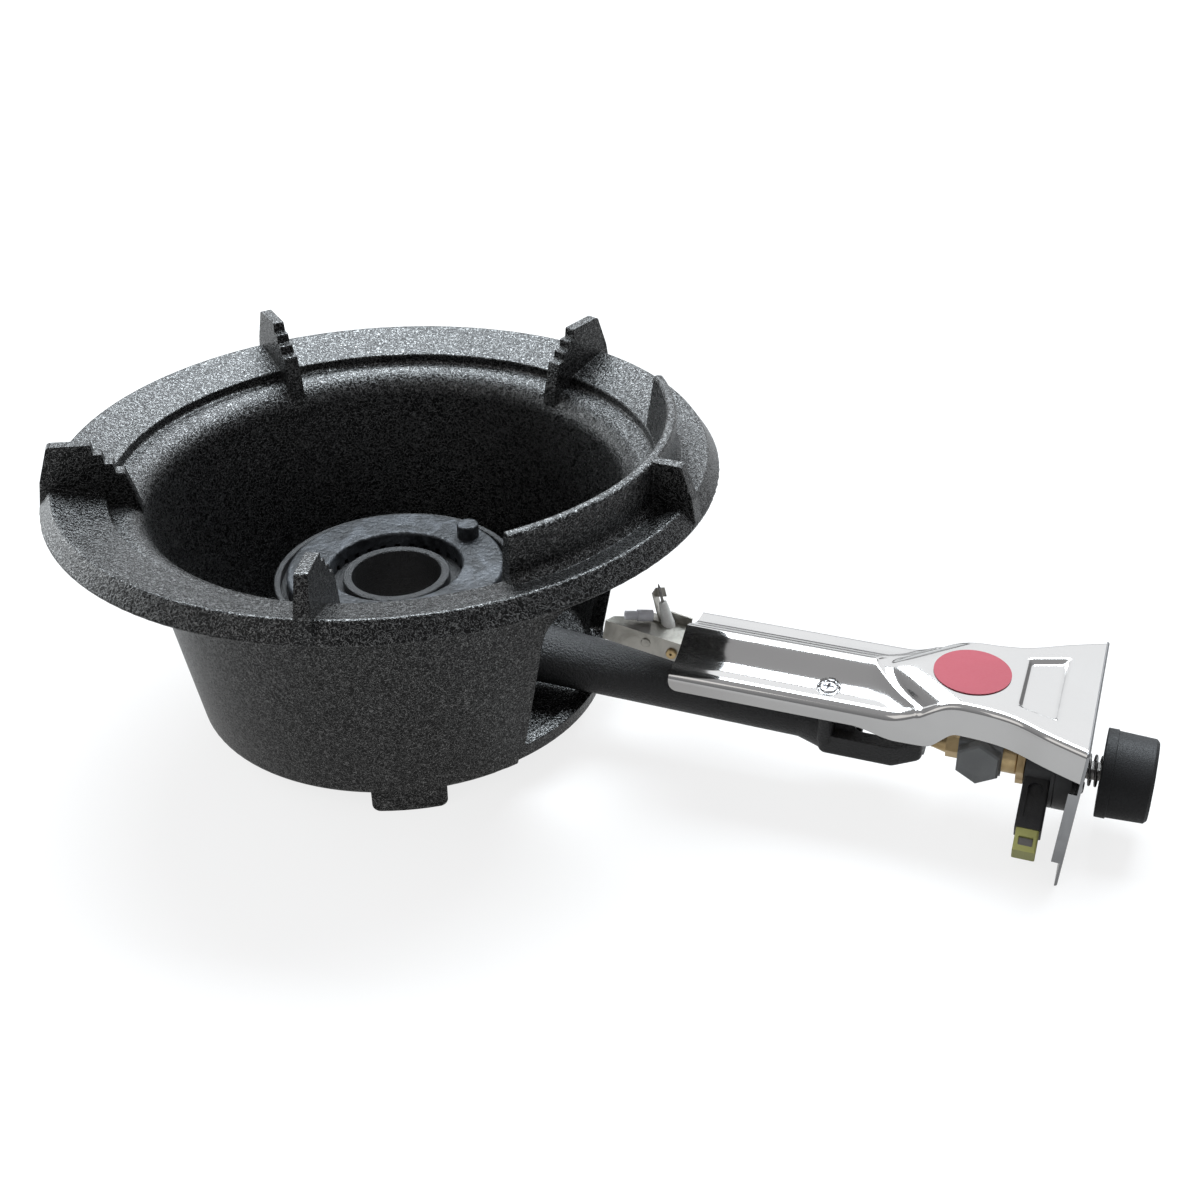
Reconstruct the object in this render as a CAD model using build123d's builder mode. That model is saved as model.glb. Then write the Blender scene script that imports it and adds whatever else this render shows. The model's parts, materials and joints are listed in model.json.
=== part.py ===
"""Single-ring cast-iron wok burner with a chromed handle, a push-and-turn gas valve and a piezo igniter.

Millimetres. The origin is on the pot's axis at the floor, +X runs along the handle to the knob, +Z is up.
"""

import os
from math import atan2, cos, degrees, pi, radians, sin, sqrt, tan

from build123d import *

os.makedirs("parts", exist_ok=True)

# Pot casting
pot_height = 129.9
pot_wall = 6.0
base_radius = 96.0
neck_drop = 18.0
rim_radius = 150.0
rim_width = 22.7
rim_lip = 8.8
rim_edge_height = 8.7
rim_edge_lean = 6.0
rim_dish = 6.7
rim_step = 4.7
rim_underside_drop = 2.4
shoulder_radius = 12.0
neck_fillet = 9.0
floor_fillet = 5.0
cast_round = 1.0
merge = 0.6
floor_thickness = 6.0
floor_hole_radius = 30.0
foot_count = 3
foot_angle = 57.0
foot_height = 10.0
foot_width = 33.0
foot_depth = 16.0
foot_corner = 3.5
opening_width = 100.0
opening_height = 68.0
opening_sill = 10.0
opening_corner = 11.0
sill_lift = 3.0
sill_reach = 2.0

# Pan supports and wind shield, cast in one with the pot
finger_count = 5
finger_turn = -3.0
finger_rise = 18.4
finger_thickness = 6.8
finger_top_thickness = 5.2
finger_top_setback = 8.0
finger_top_inset = 2.7
finger_top_fall = 1.0
finger_foot_setback = 2.6
finger_foot_rise = 3.0
finger_steps = 3
finger_step_run = 4.0
finger_step_drop = 4.6
finger_rib_drop = 23.0
shield_half_angle = 38.5
shield_lean = 4.5
shield_top_thickness = 4.5
shield_base_thickness = 12.0
shield_foot = 3.4

# Burner head
burner_radius = 56.5
burner_wall = 4.0
burner_floor = 4.0
burner_height = 46.0
burner_lip = 3.0
burner_flare = 5.0
seat_step = 2.0
seat_depth = 3.2
burner_pad_height = 4.0
burner_pad_radius = 8.0
burner_pad_pitch_radius = 40.0
burner_pad_angle = 60.0
hole_radius = 20.8
hole_wall = 4.2
inner_ring_drop = 1.0
cap_radius = 50.5
cap_hole_radius = 31.0
cap_thickness = 5.0
cap_skirt_height = 4.0
cap_skirt_wall = 3.5
cap_seat_depth = 6.0
cap_play = 0.5
cap_inner_ports = 28
cap_outer_ports = 40
port_width = 2.4
port_height = 2.6
cap_pin_radius = 5.2
cap_pin_height = 7.0
cap_pin_pitch_radius = 41.7
cap_pin_angle = 60.0
bolt_radius = 3.0
bolt_head_flats = 10.0
bolt_head_height = 3.6
bolt_end_skin = 1.6

# Mixing tube and the inlet yoke that holds the valve
valve_height = 29.5
tube_root_height = 36.5
tube_root_radius = 14.0
throat_radius = 10.0
tube_wall = 3.5
throat_x = 196.0
bell_length = 12.0
bell_radius = 13.5
bell_land = 14.0
yoke_setback = 11.0
yoke_length = 55.0
yoke_half_width = 19.0
yoke_arm = 7.5
yoke_height = 10.4
yoke_drop = 5.4
yoke_round = 4.0
yoke_low_round = 2.5
yoke_end_wall = 7.0
yoke_corner_run = 11.0
yoke_corner_in = 8.0
yoke_boss_radius = 7.5
cover_post_x = 210.2
cover_post_y = -16.8
cover_post_radius = 3.4
cover_screw_radius = 1.7
cover_screw_length = 11.0
cover_screw_head_radius = 4.0
cover_screw_head = 2.2
bracket_boss_radius = 4.5
bracket_screw_radius = 1.6
bracket_screw_length = 5.4
bracket_screw_head_radius = 3.0
bracket_screw_head = 2.0

# Pressed handle cover and end panel
sheet = 1.0
dimple_depth = 0.9
dimple_radius = 4.6
cover_start = 142.5
cover_half_width = 27.4
cover_flat_height = 57.3
cover_crest_height = 65.3
cover_crest_half_width = 2.0
cover_crest_foot = 14.5
cover_edge_radius = 4.5
cover_skirt = 8.8
cover_blank = 30.0
cover_top_height = 67.2
cover_top_round = 3.2
cover_foot_fillet = 6.0
cover_crest_round = 3.0
cover_shoulder_x = 260.0
cover_shoulder_half_width = 25.7
flare_lead = 4.0
flare_mid_run = 25.0
flare_mid = 2.4
flare_end_run = 43.0
flare_end = 10.8
flare_past = 8.0
flare_lip = 2.0
cover_vee_x = 223.0
cover_vee_angle = 41.5
cover_vee_slope = 70.0
waist_skirt_extra = 3.8
waist_rise = 38.0
waist_start = 18.0
waist_end = 6.0
waist_round = 5.0
top_skirt = 14.6
panel_x = 317.4
panel_width = 86.0
panel_thickness = 1.2
panel_corner = 1.5
panel_flange_setback = 11.0
panel_lean = 3.3
panel_flange = 9.0
panel_side_flange = 3.4
pocket_depth = 1.8
pocket_slope = 45.0
pocket_corner = 2.0
pocket_x = 287.0
pocket_length = 18.0
pocket_half_near = 18.3
pocket_half_far = 24.4
badge_x = 266.8
badge_radius_x = 16.0
badge_radius_y = 16.5
badge_thickness = 0.4

# Gas valve, built along the X axis at valve height
injector_thread_radius = 3.0
injector_reach = 4.0
injector_neck = 2.0
injector_cone_length = 7.0
injector_radius = 4.6
injector_nut_flats = 10.6
injector_nut_length = 5.5
injector_nut_wall = 2.0
valve_length = 18.5
valve_half_width = 7.5
valve_half_height = 8.0
gas_bore_radius = 1.6
jet_radius = 0.5
jet_length = 3.0
port_setback = 2.6
port_skin = 0.6
pilot_port_inset = 2.0
valve_round = 2.0
plug_large_radius = 5.0
plug_small_radius = 4.2
plug_length = 13.5
plug_stem_radius = 4.0
plug_stem_length = 5.5
tang_thickness = 2.0
tang_engagement = 1.9
tang_gap = 0.5
hex_turn = 30.0
side_cap_flats = 17.6
side_cap_height = 5.0
side_cap_stud = 4.0
inlet_flats = 13.0
inlet_hex_height = 5.0
inlet_pipe_radius = 4.75
inlet_pipe_length = 30.0
inlet_bore_radius = 2.6
bonnet_radius = 8.0
bonnet_length = 6.4
bonnet_nut_flats = 20.0
bonnet_nut_length = 3.6

# Rotary igniter behind the panel
holder_block_width = 11.5
holder_block_thickness = 11.0
holder_reach = 33.5
holder_angle = 30.0
holder_hub_radius = 12.0
holder_disc = 1.5
holder_round = 1.0
drum_radius = 19.0
drum_length = 7.1
drum_wall = 1.8
drum_face = 1.3
drum_stand = 1.6
drum_pad_radius = 3.6
drum_pad_depth = 4.0
bush_radius = 5.0
bush_stand = 1.0
piezo_length = 10.0
piezo_stub_length = 13.5
piezo_window_length = 4.0
piezo_window_width = 6.0
piezo_window_depth = 2.0
piezo_shrink = 0.86
contact_thickness = 0.8
holder_recess_start = 15.8
holder_recess_end = 28.5
holder_recess_half_width = 2.9
holder_recess_depth = 0.9
holder_pit_radius = 3.0
holder_pit_depth = 2.0
cam_gap = 0.8
cam_radius = 9.0
cam_nose = 4.0
cam_thickness = 3.6
panel_screw_spread = 13.0
panel_screw_radius = 1.5
panel_screw_length = 4.6
panel_screw_head_radius = 2.8
panel_screw_head = 1.9

# Knob, spindle and return spring
knob_gap = 7.6
knob_radius = 18.4
knob_length = 20.9
knob_flange = 0.5
knob_flange_length = 4.5
knob_chamfer = 1.3
knob_draft = 0.6
knob_round = 0.4
knob_dome = 0.5
knob_recess_radius = 8.6
knob_recess_depth = 2.6
spindle_radius = 4.0
spindle_flat = 1.4
spindle_end_gap = 3.0
push_travel = 3.0
spring_wire = 1.1
spring_radius = 6.35
spring_turns = 3
washer_radius = 8.2
washer_thickness = 0.8

# Pilot and spark group in front of the cover
bracket_x = 141.6
bracket_height = 58.9
bracket_slope = 8.9
bracket_length = 35.4
bracket_tip = 33.2
bracket_tip_far = -1.8
bracket_taper_end = 29.0
bracket_taper_far = 0.4
bracket_taper_start = 19.5
bracket_flange = 12.0
bracket_near = 7.0
bracket_far = 9.0
bracket_depth = 9.8
bracket_sheet = 0.8
bracket_round = 2.0
bracket_tail = 30.0
bracket_tail_width = 11.0
bracket_screw_at = 24.0
bracket_upstand = 4.4
rivet_at = 15.6
rivet_drop = 4.8
rivet_radius = 2.2
rivet_height = 0.7
pilot_radius = 2.5
pilot_inset = 3.2
pilot_drop = 6.0
pilot_tail = 2.4
pilot_stand = 1.4
insulator_inset = 9.6
insulator_offset = 4.9
insulator_lean = 13.5
insulator_radius = 3.0
insulator_top_radius = 1.8
insulator_collar = 1.2
insulator_height = 11.5
insulator_tail = 4.0
needle_radius = 0.6
needle_height = 20.8
needle_point = 2.0
needle_taper = 14.0
needle_tail = 8.4
strip_gap = 0.4
strip_offset = 6.4
strip_width = 5.2
strip_height = 15.2
strip_foot = 5.0
strip_wing_start = 10.8
strip_wing_reach = 4.2
strip_sheet = 0.6
sleeve_start = 17.0
sleeve_turn = 29.0
sleeve_radius = 2.6
sleeve_length = 6.9
sleeve_tip_radius = 2.0
sleeve_tip_length = 5.6
sleeve_offset = 2.9
lead_radius = 1.4
lead_bend = 10.0
lead_reach = 0.9
lead_stand = 0.8
pilot_pipe_radius = 1.6
pilot_pipe_bend = 9.0
pilot_pipe_seat = 1.6
pilot_pipe_lead = 1.5
pilot_jet_radius = 0.6
pilot_pipe_offset = -2.0
conduit_height = 52.3

# Clearances
fit = 0.05
slip = 0.3
hole_play = 0.2
bite = 1.0


def outline(plane, corners):
    """Face on a plane from (u, v, corner radius) triples."""
    with BuildSketch(plane) as sketch:
        with BuildLine():
            FilletPolyline(
                *[(u, v) for u, v, _ in corners],
                radius=[r for _, _, r in corners],
                close=True,
            )
        make_face()
    return sketch.sketch


def turned(axis, corners):
    """Solid of revolution about an axis in the XZ plane, from (x, z, corner radius) triples."""
    with BuildPart() as body:
        revolve(outline(Plane.XZ, corners), axis=axis)
    return body.part


def rod(plane, radius, start, end):
    """Round bar along a plane's normal, from one height above it to another."""
    with BuildPart() as body:
        with BuildSketch(plane.offset(start)):
            Circle(radius)
        extrude(amount=end - start)
    return body.part


def hexagon(plane, flats, start, end, turn=0):
    """Hexagonal bar along a plane's normal, measured across its flats."""
    with BuildPart() as body:
        with BuildSketch(plane.offset(start)):
            RegularPolygon(flats / 2, 6, major_radius=False, rotation=turn)
        extrude(amount=end - start)
    return body.part


def shifted(plane, u, v):
    """The same plane with its origin moved in its own two directions."""
    origin = plane.origin + plane.x_dir * u + plane.y_dir * v
    return Plane(origin=origin, x_dir=plane.x_dir, z_dir=plane.z_dir)


def radial_plane(angle):
    """Upright plane through the pot's axis, with its u axis pointing out at an angle."""
    a = radians(angle)
    return Plane(origin=(0, 0, 0), x_dir=(cos(a), sin(a), 0), z_dir=(sin(a), -cos(a), 0))


def cut(tool):
    """Take a solid away from the piece that is being built."""
    add(tool, mode=Mode.SUBTRACT)


def save(builder, name):
    """Label a finished piece and write it as its own file."""
    builder.part.label = name
    export_step(builder.part, f"parts/{name}.step")


# Pot: a revolved bowl with a dished rim, an opening for the mixing tube, feet, fingers and a shield
base_z = foot_height
floor_z = base_z + floor_thickness
neck_z = pot_height - neck_drop
rim_low_z = pot_height - rim_edge_height
rim_top_radius = rim_radius - rim_edge_lean
rim_inner_radius = rim_top_radius - rim_width
neck_radius = rim_inner_radius - rim_lip
rim_inner_z = pot_height - rim_dish
shoulder_z = rim_inner_z - rim_step
wall_slope = (neck_radius - base_radius) / (neck_z - base_z)
wall_run = pot_wall * sqrt(1 + wall_slope**2)
top_z = pot_height + finger_rise


def wall_outside(z):
    return base_radius + wall_slope * (z - base_z)


def wall_inside(z):
    return wall_outside(z) - wall_run


def rim_surface(r):
    return rim_inner_z + rim_dish * (r - rim_inner_radius) / rim_width


pot_profile = [
    (floor_hole_radius, base_z, cast_round),
    (base_radius, base_z, 2 * cast_round),
    (neck_radius, neck_z, neck_fillet),
    (rim_top_radius, rim_low_z - rim_underside_drop, 3 * cast_round),
    (rim_radius, rim_low_z, cast_round),
    (rim_top_radius, pot_height, 1.4 * cast_round),
    (rim_inner_radius, rim_inner_z, 0.8 * cast_round),
    (rim_inner_radius, shoulder_z, 1.5 * cast_round),
    (wall_inside(shoulder_z), shoulder_z - cast_round, shoulder_radius),
    (wall_inside(floor_z), floor_z, floor_fillet),
    (floor_hole_radius, floor_z, cast_round),
]

finger_top_outer = rim_radius - finger_top_setback
finger_top_inner = rim_inner_radius + finger_top_inset
finger_tip = finger_top_inner - finger_steps * finger_step_run
finger_edge_z = top_z - finger_top_fall
finger_tip_z = finger_edge_z - finger_steps * finger_step_drop
rib_z = shoulder_z - finger_rib_drop
finger_profile = [
    (rim_radius - merge, rim_low_z + merge / 2, 0),
    (rim_radius - finger_foot_setback, pot_height + finger_foot_rise, 4 * cast_round),
    (finger_top_outer, top_z, 2 * cast_round),
    (finger_top_inner, finger_edge_z, 0.8 * cast_round),
]
for step in range(finger_steps):
    step_r = finger_top_inner - step * finger_step_run
    step_z = finger_edge_z - (step + 1) * finger_step_drop
    finger_profile.append((step_r - 0.4 * cast_round, step_z, merge))
    if step < finger_steps - 1:
        finger_profile.append((step_r - finger_step_run, step_z - 0.2 * cast_round, 0.8 * cast_round))
finger_profile += [
    (finger_tip, finger_tip_z - 0.4 * cast_round, 1.2 * cast_round),
    (wall_inside(shoulder_z) + 2 * merge, shoulder_z + 2 * cast_round, shoulder_radius / 2),
    (wall_inside(rib_z) + merge, rib_z, 0),
    (wall_outside(rib_z) - merge, rib_z, 0),
    (neck_radius - 2 * merge, neck_z, 0),
    (rim_inner_radius, shoulder_z - 2 * merge, 0),
]
finger_pitch = 360 / finger_count
draft = atan2((finger_thickness - finger_top_thickness) / 2, finger_rise)


def drafted(profile):
    """Upright web on a profile in the XZ plane, thinner towards its top."""
    with BuildPart() as web:
        extrude(outline(Plane.XZ, profile), amount=finger_thickness / 2, both=True)
        for side in (-1, 1):
            split(
                bisect_by=Plane(
                    origin=(0, side * finger_thickness / 2, pot_height),
                    x_dir=(1, 0, 0),
                    z_dir=(0, side * cos(draft), sin(draft)),
                ),
                keep=Keep.BOTTOM,
            )
    return web.part


finger = drafted(finger_profile)

shield_outer = rim_inner_radius + shield_base_thickness
shield_profile = [
    (rim_inner_radius, shoulder_z + merge, 0),
    (rim_inner_radius + shield_lean, top_z, 1.6 * cast_round),
    (rim_inner_radius + shield_lean + shield_top_thickness, top_z - merge, 2 * cast_round),
    (shield_outer - shield_foot, rim_surface(shield_outer) + shield_foot, 4 * cast_round),
    (shield_outer, rim_surface(shield_outer) - 2 * merge, 0),
]
with BuildPart() as shield:
    revolve(
        outline(radial_plane(finger_turn - shield_half_angle), shield_profile),
        axis=Axis.Z,
        revolution_arc=2 * shield_half_angle,
    )

# The finger at the shield stands only on its outer side
gusset_start = rim_inner_radius + shield_lean + shield_top_thickness / 2
gusset = drafted(
    [
        (rim_radius - merge, rim_low_z + merge / 2, 0),
        (rim_radius - finger_foot_setback, pot_height + finger_foot_rise, 4 * cast_round),
        (finger_top_outer, finger_edge_z, 2 * cast_round),
        (gusset_start, finger_edge_z, 0),
        (gusset_start, rim_inner_z - merge, 0),
        (rim_top_radius - rim_lip, rim_low_z, 0),
    ]
)

with BuildPart() as foot:
    extrude(
        outline(
            Plane.YZ.offset(base_radius - foot_depth),
            [
                (-foot_width / 2, 0, foot_corner),
                (foot_width / 2, 0, foot_corner),
                (foot_width / 2, base_z + bite, 0),
                (-foot_width / 2, base_z + bite, 0),
            ],
        ),
        amount=2 * foot_depth,
    )
    Cylinder(base_radius - merge, 3 * foot_height, mode=Mode.INTERSECT)

opening_z = base_z + opening_sill
half_opening = opening_width / 2
with BuildPart() as pot:
    revolve(outline(Plane.XZ, pot_profile), axis=Axis.Z)
    extrude(
        outline(
            Plane.YZ.offset(base_radius / 2),
            [
                (-half_opening, opening_z, 2 * cast_round),
                (half_opening, opening_z, 2 * cast_round),
                (half_opening, opening_z + opening_height, opening_corner),
                (-half_opening, opening_z + opening_height, opening_corner),
            ],
        ),
        amount=rim_radius,
        mode=Mode.SUBTRACT,
    )
    with Locations((base_radius, 0, base_z)):
        Box(base_radius, opening_width + 2 * sill_reach, 2 * sill_lift, mode=Mode.SUBTRACT)
    with PolarLocations(
        0,
        finger_count - 1,
        start_angle=finger_turn + finger_pitch,
        angular_range=(finger_count - 1) * finger_pitch,
    ):
        add(finger)
    with PolarLocations(0, 1, start_angle=finger_turn):
        add(gusset)
    add(shield.part)
    with PolarLocations(0, foot_count, start_angle=foot_angle):
        add(foot.part)
    with Locations((0, 0, base_z)):
        with PolarLocations(burner_pad_pitch_radius, foot_count, start_angle=burner_pad_angle):
            Cylinder(bolt_radius + hole_play, 4 * floor_thickness, mode=Mode.SUBTRACT)
save(pot, "pot")

# Burner head: an annular gas chamber in one casting with its mixing tube, bell mouth and valve yoke
burner_z = floor_z + burner_pad_height
lip_z = burner_z + burner_height
seat_z = lip_z - cap_seat_depth
chamber_z = burner_z + burner_floor
ring_radius = hole_radius + hole_wall
seat_inner = cap_radius - cap_skirt_wall - 2 * cap_play
inner_seat = cap_hole_radius + cap_skirt_wall + cap_play
lip_inner = burner_radius - burner_lip
burner_profile = [
    (hole_radius, burner_z, 0.8 * cast_round),
    (burner_radius - burner_flare, burner_z, 4 * cast_round),
    (burner_radius, burner_z + burner_height / 3, 6 * cast_round),
    (burner_radius, lip_z, 0.8 * cast_round),
    (lip_inner, lip_z, 0.8 * cast_round),
    (lip_inner, seat_z + seat_step, 0),
    (cap_radius + cap_play, seat_z + seat_step, 0),
    (cap_radius + cap_play, seat_z, 0),
    (seat_inner, seat_z, 0),
    (seat_inner, seat_z - seat_depth, 0),
    (burner_radius - burner_wall, seat_z - 3 * seat_depth, 3 * cast_round),
    (burner_radius - burner_wall, burner_z + burner_height / 3 + cast_round, 6 * cast_round),
    (burner_radius - burner_wall - burner_flare, chamber_z, 4 * cast_round),
    (ring_radius, chamber_z, 3 * cast_round),
    (ring_radius, seat_z - 2.5 * seat_depth, 2 * cast_round),
    (inner_seat, seat_z - seat_depth, 0),
    (inner_seat, seat_z, 0),
    (ring_radius, seat_z, 0),
    (ring_radius, lip_z - inner_ring_drop, 0.8 * cast_round),
    (hole_radius, lip_z - inner_ring_drop, 0.8 * cast_round),
]
tube_start = burner_radius - burner_wall - bite
bell_end = throat_x + bell_length
yoke_start = throat_x + yoke_setback
yoke_end = throat_x + yoke_length
yoke_low = valve_height - yoke_drop
yoke_top = yoke_low + yoke_height
air_start = bell_end + bell_land
air_end = yoke_end - yoke_end_wall
dimple_z = cover_flat_height - dimple_depth
tilt = radians(bracket_slope)
bracket_plane = Plane(
    origin=(bracket_x, 0, bracket_height),
    x_dir=(cos(tilt), 0, -sin(tilt)),
    z_dir=(sin(tilt), 0, cos(tilt)),
)
valve_line = Axis((0, 0, valve_height), (1, 0, 0))
valve_plane = Plane(origin=(0, 0, valve_height), x_dir=(0, 1, 0), z_dir=(1, 0, 0))


def tube_circle(x, radius, z):
    with BuildSketch(Plane(origin=(x, 0, z), x_dir=(0, 1, 0), z_dir=(1, 0, 0))) as ring:
        Circle(radius)
    return ring.sketch


with BuildPart() as tube_outside:
    throat = tube_circle(throat_x, throat_radius, valve_height)
    loft([tube_circle(tube_start, tube_root_radius, tube_root_height), throat])
    loft([throat, tube_circle(bell_end, bell_radius, valve_height)])
    add(rod(valve_plane, bell_radius, bell_end, air_start))

with BuildPart() as tube_bore:
    bore = tube_circle(throat_x, throat_radius - tube_wall, valve_height)
    loft([tube_circle(tube_start - burner_wall, tube_root_radius - tube_wall, tube_root_height), bore])
    loft([bore, tube_circle(air_start + 3 * bite, bell_radius - tube_wall, valve_height)])

with BuildPart() as yoke:
    extrude(
        outline(
            Plane.XY.offset(yoke_low),
            [
                (yoke_start, -yoke_half_width, yoke_round),
                (yoke_end - yoke_corner_run, -yoke_half_width, yoke_round),
                (yoke_end, -yoke_half_width + yoke_corner_in, yoke_round),
                (yoke_end, yoke_half_width - yoke_corner_in, yoke_round),
                (yoke_end - yoke_corner_run, yoke_half_width, yoke_round),
                (yoke_start, yoke_half_width, yoke_round),
            ],
        ),
        amount=yoke_height,
    )
    fillet(yoke.faces().sort_by(Axis.Z)[0].edges(), yoke_low_round)
    add(rod(valve_plane, yoke_boss_radius, air_end, yoke_end))
    air_half = yoke_half_width - yoke_arm
    extrude(
        outline(
            Plane.XY.offset(yoke_low - yoke_height),
            [
                (air_start, -air_half, 3 * cast_round),
                (air_end, -air_half, 3 * cast_round),
                (air_end, air_half, 3 * cast_round),
                (air_start, air_half, 3 * cast_round),
            ],
        ),
        amount=4 * yoke_height,
        mode=Mode.SUBTRACT,
    )

post_plane = shifted(Plane.XY, cover_post_x, cover_post_y)
with BuildPart() as burner_body:
    revolve(outline(Plane.XZ, burner_profile), axis=Axis.Z)
    add(tube_outside.part)
    add(yoke.part)
    add(rod(post_plane, cover_post_radius, yoke_top - yoke_round, dimple_z - sheet - fit))
    add(
        rod(
            shifted(bracket_plane, bracket_screw_at, 0),
            bracket_boss_radius,
            -bracket_depth - 2 * bracket_boss_radius,
            -bracket_depth - fit,
        )
    )
    with Locations((0, 0, burner_z - burner_pad_height / 2)):
        with PolarLocations(burner_pad_pitch_radius, foot_count, start_angle=burner_pad_angle):
            Cylinder(burner_pad_radius, burner_pad_height)
    cut(tube_bore.part)
    cut(rod(valve_plane, injector_thread_radius + fit, air_end - bite, yoke_end + bite))
    cut(rod(post_plane, cover_screw_radius, dimple_z - cover_screw_length - 2 * bite, dimple_z))
    add(
        rod(
            shifted(bracket_plane, bracket_screw_at, 0),
            bracket_screw_radius + fit,
            -bracket_depth - bracket_screw_length + bracket_sheet - hole_play,
            -bracket_depth + bite,
        ),
        mode=Mode.SUBTRACT,
    )
    with Locations((0, 0, floor_z)):
        with PolarLocations(burner_pad_pitch_radius, foot_count, start_angle=burner_pad_angle):
            Cylinder(
                bolt_radius + fit,
                2 * (burner_pad_height + burner_floor - bolt_end_skin + hole_play),
                mode=Mode.SUBTRACT,
            )
save(burner_body, "burner_body")

# Bolts that hold the burner down on the pot's floor
with BuildPart() as burner_bolts:
    with PolarLocations(burner_pad_pitch_radius, foot_count, start_angle=burner_pad_angle):
        add(hexagon(Plane.XY, bolt_head_flats, base_z - bolt_head_height, base_z - fit))
        add(rod(Plane.XY, bolt_radius, base_z - bite, chamber_z - bolt_end_skin))
save(burner_bolts, "burner_bolts")

# Cap: a loose ring whose notched skirts make the flame ports
cap_low = seat_z + fit
cap_top = cap_low + cap_skirt_height + cap_thickness
cap_mid = cap_low + cap_skirt_height
with BuildPart() as burner_cap:
    revolve(
        outline(
            Plane.XZ,
            [
                (cap_hole_radius, cap_low, 0),
                (cap_hole_radius + cap_skirt_wall, cap_low, 0),
                (cap_hole_radius + cap_skirt_wall, cap_mid, 0.8),
                (cap_radius - cap_skirt_wall, cap_mid, 0.8),
                (cap_radius - cap_skirt_wall, cap_low, 0),
                (cap_radius, cap_low, 0),
                (cap_radius, cap_top, 1.5),
                (cap_hole_radius, cap_top, 1.5),
            ],
        ),
        axis=Axis.Z,
    )
    with Locations((0, 0, cap_low)):
        with PolarLocations(cap_radius - cap_skirt_wall / 2, cap_outer_ports):
            Box(2 * cap_skirt_wall, port_width, 2 * port_height, mode=Mode.SUBTRACT)
        with PolarLocations(cap_hole_radius + cap_skirt_wall / 2, cap_inner_ports):
            Box(2 * cap_skirt_wall, port_width, 2 * port_height, mode=Mode.SUBTRACT)
    pin_a = radians(cap_pin_angle)
    pin_x = cap_pin_pitch_radius * cos(pin_a)
    pin_y = cap_pin_pitch_radius * sin(pin_a)
    pin_plane = shifted(Plane.XY.offset(cap_top), pin_x, pin_y)
    add(rod(pin_plane, cap_pin_radius, -1.0, cap_pin_height))
    fillet(burner_cap.faces().sort_by(Axis.Z)[-1].edges(), 1.0)
save(burner_cap, "burner_cap")

# Handle cover: one pressed sheet, the difference of its outer form and the same form set in by the sheet
lean = radians(panel_lean)
panel_plane = Plane(
    origin=(panel_x, 0, cover_top_height),
    x_dir=(0, 1, 0),
    z_dir=(cos(lean), 0, -sin(lean)),
)
low_z = cover_flat_height - cover_blank
vee_a = radians(cover_vee_angle)
vee_b = radians(cover_vee_slope)
vee_meets_edge = cover_vee_x + cover_half_width / tan(vee_a)


def cover_form(inset):
    """Solid that fills the cover, with every face moved in by the inset."""
    w = cover_half_width - inset
    flat = cover_flat_height - inset
    foot = cover_crest_foot - 0.3 * inset
    ahead = 5 * inset
    with BuildPart() as bar:
        extrude(
            outline(
                Plane.YZ.offset(cover_start - ahead),
                [
                    (-w, low_z, 0),
                    (-w, flat, cover_edge_radius - inset),
                    (-foot, flat, cover_foot_fillet),
                    (-cover_crest_half_width, cover_crest_height - 1.1 * inset, cover_crest_round),
                    (cover_crest_half_width, cover_crest_height - 1.1 * inset, cover_crest_round),
                    (foot, flat, cover_foot_fillet),
                    (w, flat, cover_edge_radius - inset),
                    (w, low_z, 0),
                ],
            ),
            amount=vee_meets_edge - cover_start + ahead,
        )
    sides = [
        (cover_vee_x - flare_lead, cover_half_width),
        (vee_meets_edge - flare_lead, cover_half_width - flare_lip / 10),
        (cover_shoulder_x + flare_lead, cover_shoulder_half_width),
        (cover_shoulder_x + flare_mid_run, cover_shoulder_half_width + flare_mid),
        (cover_shoulder_x + flare_end_run, cover_shoulder_half_width + flare_end),
        (panel_x, panel_width / 2 - flare_lip / 5),
        (panel_x + flare_past, panel_width / 2 + 0.8 * flare_lip),
    ]
    top = cover_top_height - inset
    with BuildPart() as platform:
        with BuildSketch(Plane.XY.offset(low_z)):
            with BuildLine():
                near = Spline(*[(x, -(y - inset)) for x, y in sides])
                far = Spline(*[(x, y - inset) for x, y in sides])
                Line(near @ 0, far @ 0)
                Line(near @ 1, far @ 1)
            make_face()
        extrude(amount=top - low_z)
        for side in (-1, 1):
            away = Vector(-sin(vee_a) * sin(vee_b), side * cos(vee_a) * sin(vee_b), cos(vee_b))
            split(
                bisect_by=Plane(
                    origin=Vector(cover_vee_x, 0, cover_flat_height) - away * inset,
                    z_dir=away,
                ),
                keep=Keep.BOTTOM,
            )
        fillet(platform.faces().sort_by(Axis.Z)[-1].edges(), cover_top_round - inset)
        grow = 0.5 * inset
        wall = pocket_depth / tan(radians(pocket_slope)) - grow
        extrude(
            outline(
                Plane.XY.offset(top - pocket_depth),
                [
                    (pocket_x + wall, -pocket_half_near + wall, pocket_corner),
                    (pocket_x + pocket_length - wall, -pocket_half_far + wall, pocket_corner),
                    (pocket_x + pocket_length - wall, pocket_half_far - wall, pocket_corner),
                    (pocket_x + wall, pocket_half_near - wall, pocket_corner),
                ],
            ),
            amount=pocket_depth + sheet,
            taper=pocket_slope - 90,
            mode=Mode.SUBTRACT,
        )
    with BuildPart() as form:
        add(bar.part)
        add(platform.part)
    return form.part


skirt_z = cover_flat_height - cover_skirt
waist_z = skirt_z - waist_skirt_extra
top_skirt_z = cover_top_height - top_skirt
with BuildPart() as cup:
    add(rod(post_plane, dimple_radius + sheet, dimple_z - sheet, cover_crest_height))
    add(cover_form(0.0), mode=Mode.INTERSECT)

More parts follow.
